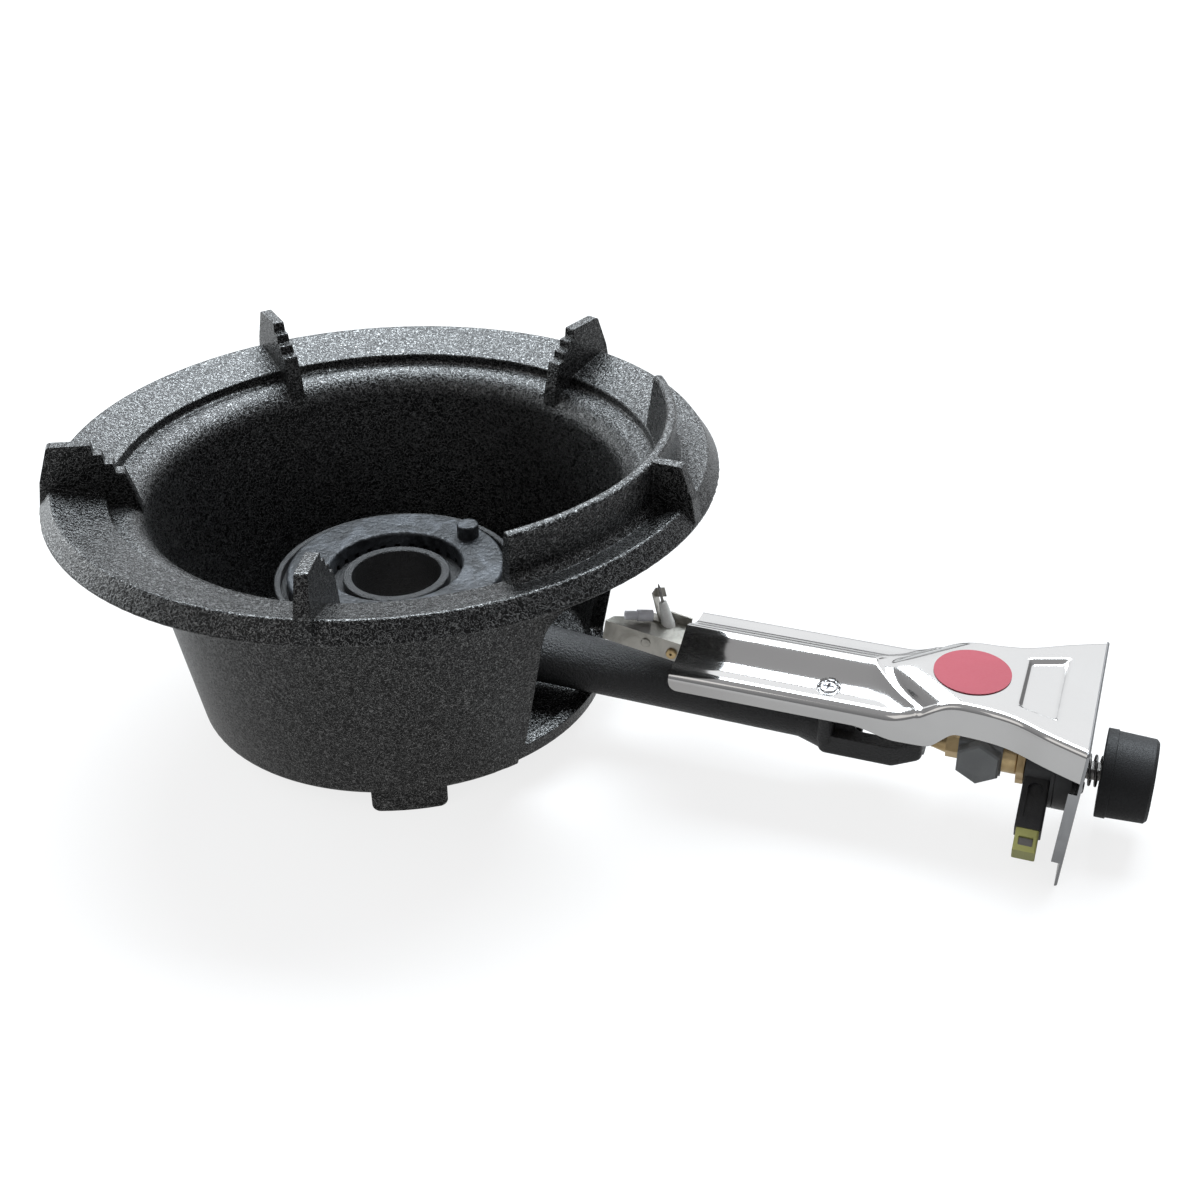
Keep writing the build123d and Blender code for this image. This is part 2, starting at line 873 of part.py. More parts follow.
with BuildPart() as handle_cover:
    add(cover_form(0.0))
    cut(cover_form(sheet))
    extrude(
        outline(
            Plane.XZ,
            [
                (cover_start - cover_blank, low_z - bite, 0),
                (panel_x + cover_blank, low_z - bite, 0),
                (panel_x + cover_blank, top_skirt_z, 0),
                (cover_shoulder_x + waist_end, top_skirt_z, waist_round),
                (cover_shoulder_x - waist_end, waist_z, 0.8 * waist_round),
                (cover_shoulder_x - waist_start, waist_z, waist_round),
                (cover_shoulder_x - waist_rise, skirt_z, waist_round),
                (cover_start - cover_blank, skirt_z, 0),
            ],
        ),
        amount=panel_width,
        both=True,
        mode=Mode.SUBTRACT,
    )
    split(bisect_by=panel_plane.offset(-fit), keep=Keep.BOTTOM)
    add(cup.part)
    cut(rod(post_plane, dimple_radius, dimple_z, cover_crest_height))
    cut(rod(post_plane, cover_screw_radius + 2 * hole_play, dimple_z - 2 * sheet, dimple_z + sheet))
save(handle_cover, "handle_cover")

with BuildPart() as badge:
    with BuildSketch(Plane.XY.offset(cover_top_height + fit / 2)):
        with Locations((badge_x, 0)):
            Ellipse(badge_radius_x, badge_radius_y)
    extrude(amount=badge_thickness)
save(badge, "badge")


def screw(plane, radius, length, head_radius, head_height):
    """Cross-headed screw whose head sits on a plane, with its shank below it."""
    with BuildPart() as body:
        with BuildSketch(plane.offset(-length)):
            Circle(radius)
        extrude(amount=length + head_height / 10)
        with BuildSketch(plane):
            Circle(head_radius)
        extrude(amount=head_height)
        top = body.faces().sort_by(Axis(plane.origin, plane.z_dir))[-1]
        fillet(top.edges(), 0.55 * head_height)
        with BuildSketch(plane.offset(0.35 * head_height)):
            Rectangle(0.3 * head_radius, 1.15 * head_radius)
            Rectangle(1.15 * head_radius, 0.3 * head_radius)
        extrude(amount=head_height, mode=Mode.SUBTRACT)
    return body.part


with BuildPart() as cover_screw:
    screw_seat = post_plane.offset(dimple_z + fit / 2)
    shank = cover_screw_radius - fit
    add(screw(screw_seat, shank, cover_screw_length, cover_screw_head_radius, cover_screw_head))
save(cover_screw, "cover_screw")

# End panel: a plate that leans in at the bottom and stands on the floor
valve_up = -(cover_top_height - valve_height) / cos(lean)
panel_at_valve = panel_x - (cover_top_height - valve_height) * tan(lean)
half_panel = panel_width / 2
boss_plane = shifted(panel_plane, 0, valve_up)


def panel_plate(u_low, u_high, v_low, v_high, n_low, n_high, corner=0.0):
    """Plate in the panel's own directions: across, up the lean from the valve, and out."""
    with BuildPart() as body:
        extrude(
            outline(
                boss_plane.offset(n_low),
                [
                    (u_low, v_low, corner),
                    (u_high, v_low, corner),
                    (u_high, v_high, corner),
                    (u_low, v_high, corner),
                ],
            ),
            amount=n_high - n_low,
        )
    return body.part


with BuildPart() as end_panel:
    add(panel_plate(-half_panel, half_panel, -2 * valve_height, -valve_up, 0, panel_thickness, panel_corner))
    outer_top = end_panel.faces().sort_by(Axis(panel_plane.origin, panel_plane.z_dir))[-1]
    fillet(outer_top.edges().sort_by(Axis.Z)[-1], panel_thickness - 2 * fit)
    for side in (-1, 1):
        edges = sorted([side * (half_panel - panel_thickness), side * half_panel])
        tall = 0.6 * valve_height
        add(panel_plate(edges[0], edges[1], -tall, tall, -panel_side_flange, panel_thickness / 2))
    flange_z = cover_top_height - sheet - fit - panel_thickness / 2
    with Locations((panel_x - panel_flange / 2, 0, flange_z)):
        Box(panel_flange + bite, panel_width - 2 * panel_flange_setback, panel_thickness)
    split(bisect_by=Plane.XY, keep=Keep.TOP)
    cut(rod(boss_plane, bush_radius + hole_play, -bite, panel_thickness + bite))
    for side in (-1, 1):
        spot = shifted(boss_plane, side * panel_screw_spread, 0)
        cut(rod(spot, panel_screw_radius + hole_play, -bite, panel_thickness + bite))
save(end_panel, "end_panel")

# Valve: injector, outlet nut, body with its plug, side cap, hose inlet, bonnet and nut, in line on X
cone_start = yoke_end + injector_neck
cone_end = cone_start + injector_cone_length
valve_start = cone_end + injector_nut_length
valve_end = valve_start + valve_length
plug_start = valve_end - plug_length
port_x = (plug_start + valve_end) / 2 - port_setback
bonnet_end = valve_end + bonnet_length
bonnet_nut_end = bonnet_end + bonnet_nut_length
zv = valve_height
injector_tip = air_end - injector_reach

with BuildPart() as injector:
    add(
        turned(
            valve_line,
            [
                (injector_tip, zv, 0),
                (injector_tip, zv + injector_thread_radius / 2, 0),
                (injector_tip + injector_neck, zv + 0.8 * injector_thread_radius, 0),
                (air_end, zv + injector_thread_radius, 0),
                (cone_start, zv + injector_thread_radius, 0),
                (cone_end, zv + injector_radius, 0),
                (cone_end, zv, 0),
            ],
        )
    )
    cut(rod(valve_plane, gas_bore_radius, injector_tip + jet_length, cone_end + bite))
    cut(rod(valve_plane, jet_radius, injector_tip - bite, injector_tip + jet_length + bite))
save(injector, "injector")

neck_r = injector_nut_flats / 2 - injector_nut_wall
with BuildPart() as injector_nut:
    add(hexagon(valve_plane, injector_nut_flats, cone_end + fit, valve_start - fit))
    cut(rod(valve_plane, neck_r, cone_end - bite, valve_start + bite))
save(injector_nut, "injector_nut")

side_near = Plane(origin=(port_x, 0, zv), x_dir=(1, 0, 0), z_dir=(0, -1, 0))
side_far = Plane(origin=(port_x, 0, zv), x_dir=(-1, 0, 0), z_dir=(0, 1, 0))
pilot_port_x = plug_start + pilot_port_inset
pilot_port = Plane(origin=(pilot_port_x, pilot_pipe_offset, zv), x_dir=(1, 0, 0), z_dir=(0, 0, 1))
port_depth = valve_half_width - plug_large_radius - port_skin
with BuildPart() as valve_body:
    extrude(
        outline(
            valve_plane.offset(valve_start),
            [
                (-valve_half_width, -valve_half_height, valve_round),
                (valve_half_width, -valve_half_height, valve_round),
                (valve_half_width, valve_half_height, valve_round),
                (-valve_half_width, valve_half_height, valve_round),
            ],
        ),
        amount=valve_length,
    )
    add(rod(valve_plane, neck_r - fit, cone_end + 2 * fit, valve_start + bite))
    add(
        turned(
            valve_line,
            [
                (plug_start - port_skin, zv, 0),
                (plug_start - port_skin, zv + plug_small_radius + fit, 0),
                (plug_start, zv + plug_small_radius + fit, 0),
                (valve_end + fit, zv + plug_large_radius + fit, 0),
                (valve_end + fit, zv, 0),
            ],
        ),
        mode=Mode.SUBTRACT,
    )
    cut(rod(valve_plane, gas_bore_radius, cone_end - bite, plug_start))
    for side in (side_near, side_far):
        cut(rod(side, side_cap_stud + fit, valve_half_width - port_depth, valve_half_width + bite))
    cut(rod(side_far, gas_bore_radius, 0.0, valve_half_width))
    pipe_seat = valve_half_height - pilot_pipe_seat
    cut(rod(pilot_port, pilot_pipe_radius + fit, pipe_seat - hole_play, valve_half_height + bite))
    cut(rod(pilot_port, pilot_jet_radius, 0.0, valve_half_height))
save(valve_body, "valve_body")

with BuildPart() as valve_side_cap:
    cap_end = valve_half_width + side_cap_height
    add(hexagon(side_near, side_cap_flats, valve_half_width + fit, cap_end, hex_turn))
    cap_face = valve_side_cap.faces().sort_by(Axis.Y)[0]
    chamfer(cap_face.edges(), 0.4 * valve_round)
    add(rod(side_near, side_cap_stud, valve_half_width - port_depth + fit, valve_half_width + bite))
save(valve_side_cap, "valve_side_cap")

pipe_start = valve_half_width + inlet_hex_height
pipe_end = pipe_start + inlet_pipe_length
with BuildPart() as gas_inlet:
    add(hexagon(side_far, inlet_flats, valve_half_width + fit, pipe_start, hex_turn))
    add(rod(side_far, side_cap_stud, valve_half_width - port_depth + fit, valve_half_width + bite))
    add(rod(side_far, inlet_pipe_radius, pipe_start - bite, pipe_end))
    fillet(gas_inlet.faces().sort_by(Axis.Y)[-1].edges(), 0.4 * valve_round)
    cut(rod(side_far, inlet_bore_radius, valve_half_width + 1.5 * bite, pipe_end + bite))
    cut(rod(side_far, gas_bore_radius, 0.0, valve_half_width + 2 * bite))
save(gas_inlet, "gas_inlet")

stem_end = valve_end + plug_stem_length
slot_start = stem_end - tang_engagement - push_travel - tang_gap
with BuildPart() as valve_plug:
    add(
        turned(
            valve_line,
            [
                (plug_start, zv, 0),
                (plug_start, zv + plug_small_radius, 0),
                (valve_end - 2 * fit, zv + plug_large_radius, 0),
                (valve_end - 2 * fit, zv + plug_stem_radius, 0),
                (stem_end, zv + plug_stem_radius, 0),
                (stem_end, zv, 0),
            ],
        )
    )
    with Locations(((slot_start + stem_end + bite) / 2, 0, zv)):
        Box(
            stem_end + bite - slot_start,
            tang_thickness + 2 * fit,
            4 * plug_stem_radius,
            mode=Mode.SUBTRACT,
        )
    cut(rod(valve_plane, gas_bore_radius, plug_start - bite, port_x + gas_bore_radius))
    port_down = Plane(origin=(port_x, 0, zv), x_dir=(1, 0, 0), z_dir=(0, 0, -1))
    cut(rod(port_down, gas_bore_radius, 0.0, 2 * plug_large_radius))
save(valve_plug, "valve_plug")

with BuildPart() as bonnet:
    add(rod(valve_plane, bonnet_radius, valve_end + fit, bonnet_end - fit))
    fillet(bonnet.faces().sort_by(Axis.X)[-1].edges(), 0.4 * valve_round)
    cut(rod(valve_plane, plug_stem_radius + slip, valve_end - bite, bonnet_end + bite))
save(bonnet, "bonnet")

with BuildPart() as bonnet_nut:
    add(hexagon(valve_plane, bonnet_nut_flats, bonnet_end, bonnet_nut_end))
    chamfer(bonnet_nut.faces().sort_by(Axis.X)[-1].edges(), 0.25 * valve_round)
    cut(rod(valve_plane, spindle_radius + slip, bonnet_end - bite, bonnet_nut_end + bite))
save(bonnet_nut, "bonnet_nut")

# Igniter: a black holder with a radial piezo block, a drum with a cam inside, screwed to the panel
panel_face = panel_at_valve + panel_thickness
drum_end = panel_at_valve - drum_stand
drum_start = drum_end - drum_length
holder_start = bonnet_nut_end + fit
block_end = drum_start - holder_disc
block_mid = (holder_start + block_end) / 2
block_half = (block_end - holder_start) / 2
reach_a = radians(holder_angle)
reach_dir = Vector(0, -cos(reach_a), -sin(reach_a))
block_plane = Plane(origin=(block_mid, 0, zv), x_dir=(1, 0, 0), z_dir=reach_dir)
half_block = holder_block_thickness / 2
stub = 0.28 * holder_block_thickness


def bar_on(plane, half_u, half_v, start, end, corner=0.0):
    """Square bar along a plane's normal."""
    with BuildPart() as body:
        extrude(
            outline(
                plane.offset(start),
                [
                    (-half_u, -half_v, corner),
                    (half_u, -half_v, corner),
                    (half_u, half_v, corner),
                    (-half_u, half_v, corner),
                ],
            ),
            amount=end - start,
        )
    return body.part


def on_block(reach):
    """Plane on the block's middle line that looks out of its upper face, at a reach from the axis."""
    return Plane(origin=block_plane.origin + reach_dir * reach, x_dir=(1, 0, 0), z_dir=block_plane.y_dir)


with BuildPart() as piezo_holder:
    add(rod(valve_plane, holder_hub_radius, holder_start, block_end + holder_disc / 3))
    add(rod(valve_plane, drum_radius, block_end, drum_start - fit))
    add(bar_on(block_plane, block_half, half_block, 0.0, holder_reach, holder_round))
    socket_low = holder_reach - piezo_stub_length
    cut(bar_on(block_plane, stub + fit, stub + fit, socket_low - bite / 2, holder_reach + bite))
    recess_mid = (holder_recess_start + holder_recess_end) / 2
    recess_half = (holder_recess_end - holder_recess_start) / 2
    recess_low = half_block - holder_recess_depth
    pit_low = half_block - holder_pit_depth
    recess_plane = on_block(recess_mid)
    cut(bar_on(recess_plane, holder_recess_half_width, recess_half, recess_low, half_block + bite))
    cut(rod(on_block(holder_recess_start), holder_pit_radius, pit_low, half_block + bite))
    cut(rod(valve_plane, spindle_radius + slip, holder_start - bite, drum_start + bite))
save(piezo_holder, "piezo_holder")

window_plane = on_block(holder_reach + 0.55 * piezo_length)
window_low = piezo_shrink * half_block - piezo_window_depth
window_u = piezo_window_width / 2
window_v = piezo_window_length / 2
with BuildPart() as piezo_element:
    piezo_u, piezo_v = piezo_shrink * block_half, piezo_shrink * half_block
    add(bar_on(block_plane, piezo_u, piezo_v, holder_reach + fit, holder_reach + piezo_length, holder_round))
    add(bar_on(block_plane, stub, stub, socket_low, holder_reach + bite))
    cut(bar_on(window_plane, window_u, window_v, window_low, half_block, holder_round / 2))
save(piezo_element, "piezo_element")

with BuildPart() as piezo_contact:
    low, high = window_low + fit, window_low + fit + contact_thickness
    add(bar_on(window_plane, window_u - hole_play, window_v - hole_play, low, high, 0.4 * holder_round))
save(piezo_contact, "piezo_contact")

bush_end = panel_face + washer_thickness + bush_stand
with BuildPart() as igniter_housing:
    for side in (-1, 1):
        pad = shifted(boss_plane, side * panel_screw_spread, 0)
        add(rod(pad, drum_pad_radius, -drum_pad_depth, -fit))
    add(rod(valve_plane, drum_radius, drum_start, drum_end))
    fillet(igniter_housing.faces().sort_by(Axis.X)[0].outer_wire().edges(), holder_round / 2)
    cut(rod(valve_plane, drum_radius - drum_wall, drum_start - bite, drum_end - drum_face))
    add(rod(valve_plane, bush_radius, drum_end - bite, bush_end))
    cut(rod(valve_plane, spindle_radius + slip / 3, drum_start - bite, bush_end + bite))
    for side in (-1, 1):
        pad = shifted(boss_plane, side * panel_screw_spread, 0)
        cut(rod(pad, panel_screw_radius + fit, -drum_length - drum_pad_depth, bite))
save(igniter_housing, "igniter_housing")

cam_start = drum_start + cam_gap
with BuildPart() as igniter_cam:
    with BuildSketch(valve_plane.offset(cam_start)):
        Circle(cam_radius)
        with Locations((0, cam_radius - bite)):
            Rectangle(cam_nose, 2 * cam_nose)
    extrude(amount=cam_thickness)
    with BuildSketch(valve_plane.offset(cam_start - bite)):
        Circle(spindle_radius + fit)
        with Locations((0, 2 * spindle_radius - spindle_flat + fit)):
            Rectangle(4 * spindle_radius, 2 * spindle_radius, mode=Mode.SUBTRACT)
    extrude(amount=2 * cam_thickness, mode=Mode.SUBTRACT)
save(igniter_cam, "igniter_cam")

with BuildPart() as panel_screws:
    for side in (-1, 1):
        head = shifted(boss_plane.offset(panel_thickness + fit), side * panel_screw_spread, 0)
        add(screw(head, panel_screw_radius, panel_screw_length, panel_screw_head_radius, panel_screw_head))
save(panel_screws, "panel_screws")

with BuildPart() as spring_washer:
    face = boss_plane.offset(panel_thickness + fit)
    add(rod(face, washer_radius, 0, washer_thickness))
    cut(rod(face, bush_radius + hole_play, -bite, washer_thickness + bite))
save(spring_washer, "spring_washer")

# Spindle: it turns the plug through a tang and can be pushed in without moving the plug
knob_start = panel_face + knob_gap
knob_end = knob_start + knob_length
spindle_end = knob_end - spindle_end_gap
tang_start = stem_end - tang_engagement
shaft_start = stem_end + push_travel + tang_gap
with BuildPart() as spindle:
    add(rod(valve_plane, spindle_radius, shaft_start, spindle_end))
    with Locations(((tang_start + shaft_start + bite) / 2, 0, zv)):
        Box(shaft_start + bite - tang_start, tang_thickness, 2 * (plug_stem_radius - slip))
    flat_start = cam_start - push_travel - bite
    with Locations(((flat_start + spindle_end + bite) / 2, 0, zv + 2 * spindle_radius - spindle_flat)):
        Box(
            spindle_end + bite - flat_start,
            4 * spindle_radius,
            2 * spindle_radius,
            mode=Mode.SUBTRACT,
        )
save(spindle, "spindle")

recess_end = knob_start + knob_recess_depth
with BuildPart() as knob:
    add(
        turned(
            valve_line,
            [
                (knob_start, zv, 0),
                (knob_start, zv + knob_radius + knob_flange, knob_round),
                (knob_start + knob_flange_length, zv + knob_radius + knob_flange, 0.75 * knob_round),
                (knob_start + knob_flange_length, zv + knob_radius, 0),
                (knob_end - knob_chamfer, zv + knob_radius - knob_draft, knob_round),
                (knob_end, zv + knob_radius - knob_draft - knob_chamfer, knob_round),
                (knob_end + knob_dome, zv + knob_radius / 3, knob_radius),
                (knob_end + knob_dome, zv, 0),
            ],
        )
    )
    cut(rod(valve_plane, knob_recess_radius, knob_start - bite, recess_end))
    with BuildSketch(valve_plane.offset(recess_end - bite)):
        Circle(spindle_radius + fit)
        with Locations((0, 2 * spindle_radius - spindle_flat + fit)):
            Rectangle(4 * spindle_radius, 2 * spindle_radius, mode=Mode.SUBTRACT)
    extrude(amount=spindle_end + fit - recess_end + bite, mode=Mode.SUBTRACT)
save(knob, "knob")

# Return spring between the washer and the knob: one wire on quarter turns of two tangent arcs each
washer_high = panel_face + washer_thickness + fit + washer_radius * tan(lean)
spring_start = washer_high + spring_wire / 2 + fit
spring_end = recess_end - spring_wire / 2 - fit
spring_pitch = (spring_end - spring_start) / spring_turns
spring_rise = spring_pitch / (2 * pi)
quarters = 4 * spring_turns


def coil_point(i):
    a = i * pi / 2
    return Vector(
        spring_start + spring_pitch * i / 4, spring_radius * cos(a), zv + spring_radius * sin(a)
    )


def coil_dir(i):
    a = i * pi / 2
    return Vector(spring_rise, -spring_radius * sin(a), spring_radius * cos(a)).normalized()


with BuildPart() as knob_spring:
    with BuildLine() as coil:
        for i in range(quarters):
            p0, p1 = coil_point(i), coil_point(i + 1)
            t0, t1 = coil_dir(i), coil_dir(i + 1)
            chord, both = p1 - p0, t0 + t1
            k = both.dot(both) - 4
            m = chord.dot(both)
            d = (m - sqrt(m * m - k * chord.dot(chord))) / k
            c0, c1 = p0 + t0 * d, p1 - t1 * d
            middle = (c0 + c1) * 0.5
            TangentArc(p0, middle, tangent=t0)
            TangentArc(middle, p1, tangent=(c1 - c0).normalized())
    with BuildSketch(Plane(origin=coil_point(0), x_dir=(1, 0, 0), z_dir=coil_dir(0))):
        Circle(spring_wire / 2)
    sweep(path=coil.wires()[0])
save(knob_spring, "knob_spring")
spring_gap = spring_pitch * cos(atan2(spring_rise, spring_radius)) - spring_wire
pressed_gap = spring_gap - push_travel / spring_turns
print(f"spring: least gap between turns {spring_gap:.2f} mm, pressed {pressed_gap:.2f} mm")

# Bracket in front of the cover: a channel on the tube that carries the pilot and the spark parts
bp = bracket_plane


def bracket_box(u_low, u_high, v_low, v_high, w_low, w_high):
    """Block in the bracket's own directions: along the plate, across it and up from it."""
    with BuildPart() as body:
        with BuildSketch(bp.offset(w_low)):
            with Locations(((u_low + u_high) / 2, (v_low + v_high) / 2)):
                Rectangle(u_high - u_low, v_high - v_low)
        extrude(amount=w_high - w_low)
    return body.part


def bracket_spot(u, v, w):
    return bp.origin + bp.x_dir * u + bp.y_dir * v + bp.z_dir * w


bs = bracket_sheet
tail_half = bracket_tail_width / 2
spike_a = radians(insulator_lean)
spike_dir = Vector(-sin(spike_a), 0, cos(spike_a))
spike_plane = Plane(
    origin=bracket_spot(-insulator_inset, insulator_offset, 0), x_dir=(0, 1, 0), z_dir=spike_dir
)
pilot_plane = Plane(
    origin=bracket_spot(-pilot_inset, 0, -pilot_drop), x_dir=bp.x_dir, z_dir=(0, -1, 0)
)
rivet_plane = Plane(
    origin=bracket_spot(-rivet_at, 0, -rivet_drop), x_dir=bp.x_dir, z_dir=(0, -1, 0)
)
screw_plane = shifted(bp, bracket_screw_at, 0).offset(-bracket_depth + bs)
lead_plane = Plane(origin=(0, insulator_offset, conduit_height), x_dir=(0, 1, 0), z_dir=(1, 0, 0))
pipe_plane = Plane(origin=(0, pilot_pipe_offset, conduit_height), x_dir=(0, 1, 0), z_dir=(1, 0, 0))

with BuildPart() as igniter_bracket:
    extrude(
        outline(
            bp.offset(-bs),
            [
                (-bracket_length, -bracket_near, 0),
                (0, -bracket_near, 0),
                (0, bracket_far, 0),
                (-bracket_taper_start, bracket_far, bracket_round),
                (-bracket_taper_end, bracket_taper_far, bracket_round),
                (-bracket_tip, bracket_tip_far, bracket_round),
            ],
        ),
        amount=bs,
    )
    add(bracket_box(-bracket_length, 0, -bracket_near, -bracket_near + bs, -bracket_depth, 0))
    add(bracket_box(-bracket_flange, 0, bracket_far - bs, bracket_far, -bracket_depth, 0))
    add(bracket_box(-bracket_flange, 0, bracket_far - bs, bracket_far, -bs, bracket_upstand))
    add(rod(rivet_plane, rivet_radius, bracket_near - bs, bracket_near + rivet_height))
    fillet(igniter_bracket.faces().sort_by(Axis.Y)[0].edges(), 0.6 * rivet_height)
    add(bracket_box(-bs, 0, -bracket_near, bracket_far, -bracket_depth, 0))
    add(bracket_box(-bs, bracket_tail, -tail_half, tail_half, -bracket_depth, -bracket_depth + bs))
    cut(rod(spike_plane, insulator_radius + fit, -insulator_tail - bite, insulator_tail + bite))
    cut(rod(pilot_plane, pilot_radius + fit, -pilot_tail - fit, bracket_near + bite))
    cut(rod(screw_plane, bracket_screw_radius + hole_play, -bs - bite, bite))
    cut(rod(lead_plane, lead_radius + hole_play, bracket_x - 5 * bite, bracket_x + 5 * bite))
    cut(rod(pipe_plane, pilot_pipe_radius + hole_play, bracket_x - 4 * bite, bracket_x + 5 * bite))
save(igniter_bracket, "igniter_bracket")

with BuildPart() as bracket_screw:
    screw_seat = screw_plane.offset(fit / 2)
    shank = bracket_screw_radius
    add(screw(screw_seat, shank, bracket_screw_length, bracket_screw_head_radius, bracket_screw_head))
save(bracket_screw, "bracket_screw")

with BuildPart() as pilot_nozzle:
    add(rod(pilot_plane, pilot_radius, -pilot_tail, bracket_near + pilot_stand))
    fillet(pilot_nozzle.faces().sort_by(Axis.Y)[0].edges(), pilot_jet_radius)
    cut(rod(pilot_plane, pilot_jet_radius, 0.0, bracket_near + pilot_stand + bite))
save(pilot_nozzle, "pilot_nozzle")

with BuildPart() as upright_insulator:
    add(rod(spike_plane, insulator_radius, -insulator_tail, insulator_collar))
    with BuildSketch(spike_plane.offset(insulator_collar)):
        Circle(insulator_radius)
    cone_height = insulator_height - insulator_collar
    extrude(amount=cone_height, taper=degrees(atan2(insulator_radius - insulator_top_radius, cone_height)))
    fillet(upright_insulator.faces().sort_by(Axis.Z)[-1].edges(), (insulator_top_radius - needle_radius) / 3)
    cut(rod(spike_plane, needle_radius + fit, -insulator_tail - bite, insulator_height + bite))
save(upright_insulator, "upright_insulator")

with BuildPart() as spark_needle:
    add(rod(spike_plane, needle_radius, -needle_tail, needle_height - needle_point))
    with BuildSketch(spike_plane.offset(needle_height - needle_point)):
        Circle(needle_radius)
    extrude(amount=needle_point, taper=needle_taper)
save(spark_needle, "spark_needle")

strip_u = -insulator_inset - insulator_radius - strip_gap - strip_sheet
with BuildPart() as ground_strip:
    strip_low, strip_high = strip_offset - strip_width / 2, strip_offset + strip_width / 2
    strip_end = strip_u + strip_sheet
    add(bracket_box(strip_u - strip_foot, strip_end, strip_low, strip_high, fit, strip_sheet + fit))
    strip_mid = bracket_spot(strip_u + strip_sheet / 2, strip_offset, 0)
    post = Plane(origin=strip_mid, x_dir=(0, 1, 0), z_dir=spike_dir)
    add(bar_on(post, strip_width / 2, strip_sheet / 2, strip_sheet, strip_height))
    wing_half = (strip_height - strip_wing_start) / 2
    wing_mid = post.origin + spike_dir * (strip_height - wing_half)
    wing_mid += Vector(0, (strip_width - strip_sheet) / 2, 0)
    wing = Plane(origin=wing_mid, x_dir=spike_dir, z_dir=(cos(spike_a), 0, sin(spike_a)))
    add(bar_on(wing, wing_half, strip_sheet / 2, 0.0, strip_wing_reach))
save(ground_strip, "ground_strip")

sleeve_a = radians(sleeve_turn)
sleeve_plane = Plane(
    origin=bracket_spot(-sleeve_start, sleeve_offset, sleeve_radius + strip_sheet + 2 * fit),
    x_dir=bp.z_dir,
    z_dir=bp.x_dir * -cos(sleeve_a) - bp.y_dir * sin(sleeve_a),
)
with BuildPart() as lying_insulator:
    add(rod(sleeve_plane, sleeve_radius, 0, sleeve_length))
    add(rod(sleeve_plane, sleeve_tip_radius, sleeve_length - bite, sleeve_length + sleeve_tip_length))
    cut(rod(sleeve_plane, needle_radius, -bite, sleeve_length + sleeve_tip_length + bite))
save(lying_insulator, "lying_insulator")

# Wire and pipe that run along under the cover
needle_foot = spike_plane.origin - spike_dir * needle_tail
holder_top = zv + sqrt(holder_hub_radius**2 - insulator_offset**2)
with BuildPart() as ignition_lead:
    with BuildLine() as lead_path:
        FilletPolyline(
            (needle_foot.X + lead_reach, insulator_offset, conduit_height),
            (block_mid, insulator_offset, conduit_height),
            (block_mid, insulator_offset, holder_top + lead_stand),
            radius=lead_bend,
        )
    with BuildSketch(Plane(origin=lead_path.line @ 0, x_dir=(0, 1, 0), z_dir=(1, 0, 0))):
        Circle(lead_radius)
    sweep(path=lead_path.wires()[0])
save(ignition_lead, "ignition_lead")

with BuildPart() as pilot_tube:
    with BuildLine() as pipe_path:
        FilletPolyline(
            (bracket_x - pilot_pipe_lead, pilot_pipe_offset, conduit_height),
            (pilot_port_x, pilot_pipe_offset, conduit_height),
            (pilot_port_x, pilot_pipe_offset, zv + pipe_seat),
            radius=pilot_pipe_bend,
        )
    with BuildSketch(Plane(origin=pipe_path.line @ 0, x_dir=(0, 1, 0), z_dir=(1, 0, 0))):
        Circle(pilot_pipe_radius)
    sweep(path=pipe_path.wires()[0])
save(pilot_tube, "pilot_tube")
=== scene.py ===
import json
from math import asin, cos, hypot, pi, radians, sin, tan

import bmesh
import bpy
from mathutils import Matrix, Vector


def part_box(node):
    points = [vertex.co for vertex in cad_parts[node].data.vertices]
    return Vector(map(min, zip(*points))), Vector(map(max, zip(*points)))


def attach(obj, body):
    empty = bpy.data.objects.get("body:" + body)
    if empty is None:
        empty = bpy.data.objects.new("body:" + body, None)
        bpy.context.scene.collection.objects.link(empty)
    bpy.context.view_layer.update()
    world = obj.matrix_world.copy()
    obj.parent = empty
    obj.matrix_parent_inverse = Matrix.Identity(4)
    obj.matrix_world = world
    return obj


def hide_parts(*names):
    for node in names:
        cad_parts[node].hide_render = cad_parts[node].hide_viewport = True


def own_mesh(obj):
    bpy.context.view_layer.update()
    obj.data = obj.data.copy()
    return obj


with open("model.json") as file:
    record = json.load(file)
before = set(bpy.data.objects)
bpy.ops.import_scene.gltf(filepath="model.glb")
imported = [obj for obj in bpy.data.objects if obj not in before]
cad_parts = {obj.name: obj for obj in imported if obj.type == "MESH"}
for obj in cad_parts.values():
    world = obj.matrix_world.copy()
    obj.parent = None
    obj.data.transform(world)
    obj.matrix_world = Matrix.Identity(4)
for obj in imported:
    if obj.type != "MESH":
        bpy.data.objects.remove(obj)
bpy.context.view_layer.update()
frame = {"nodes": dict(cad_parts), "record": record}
nodes = frame["nodes"]
scene = bpy.context.scene
scene.view_settings.view_transform = "Standard"
mm = 0.001
print("stove: frame loaded,", len(nodes), "nodes")

# camera, as the photograph was taken
cameraSet = {
    "place": (0.315156, -0.565806, 0.442361),
    "yaw": 0.361,  # turned left of +Y
    "pitch": -0.552,
    "roll": -0.018,
    "focalPixels": 1589.52,
    "framePixels": 1200,
    "sensor": 36.0,
    "clipStart": 0.01,
}


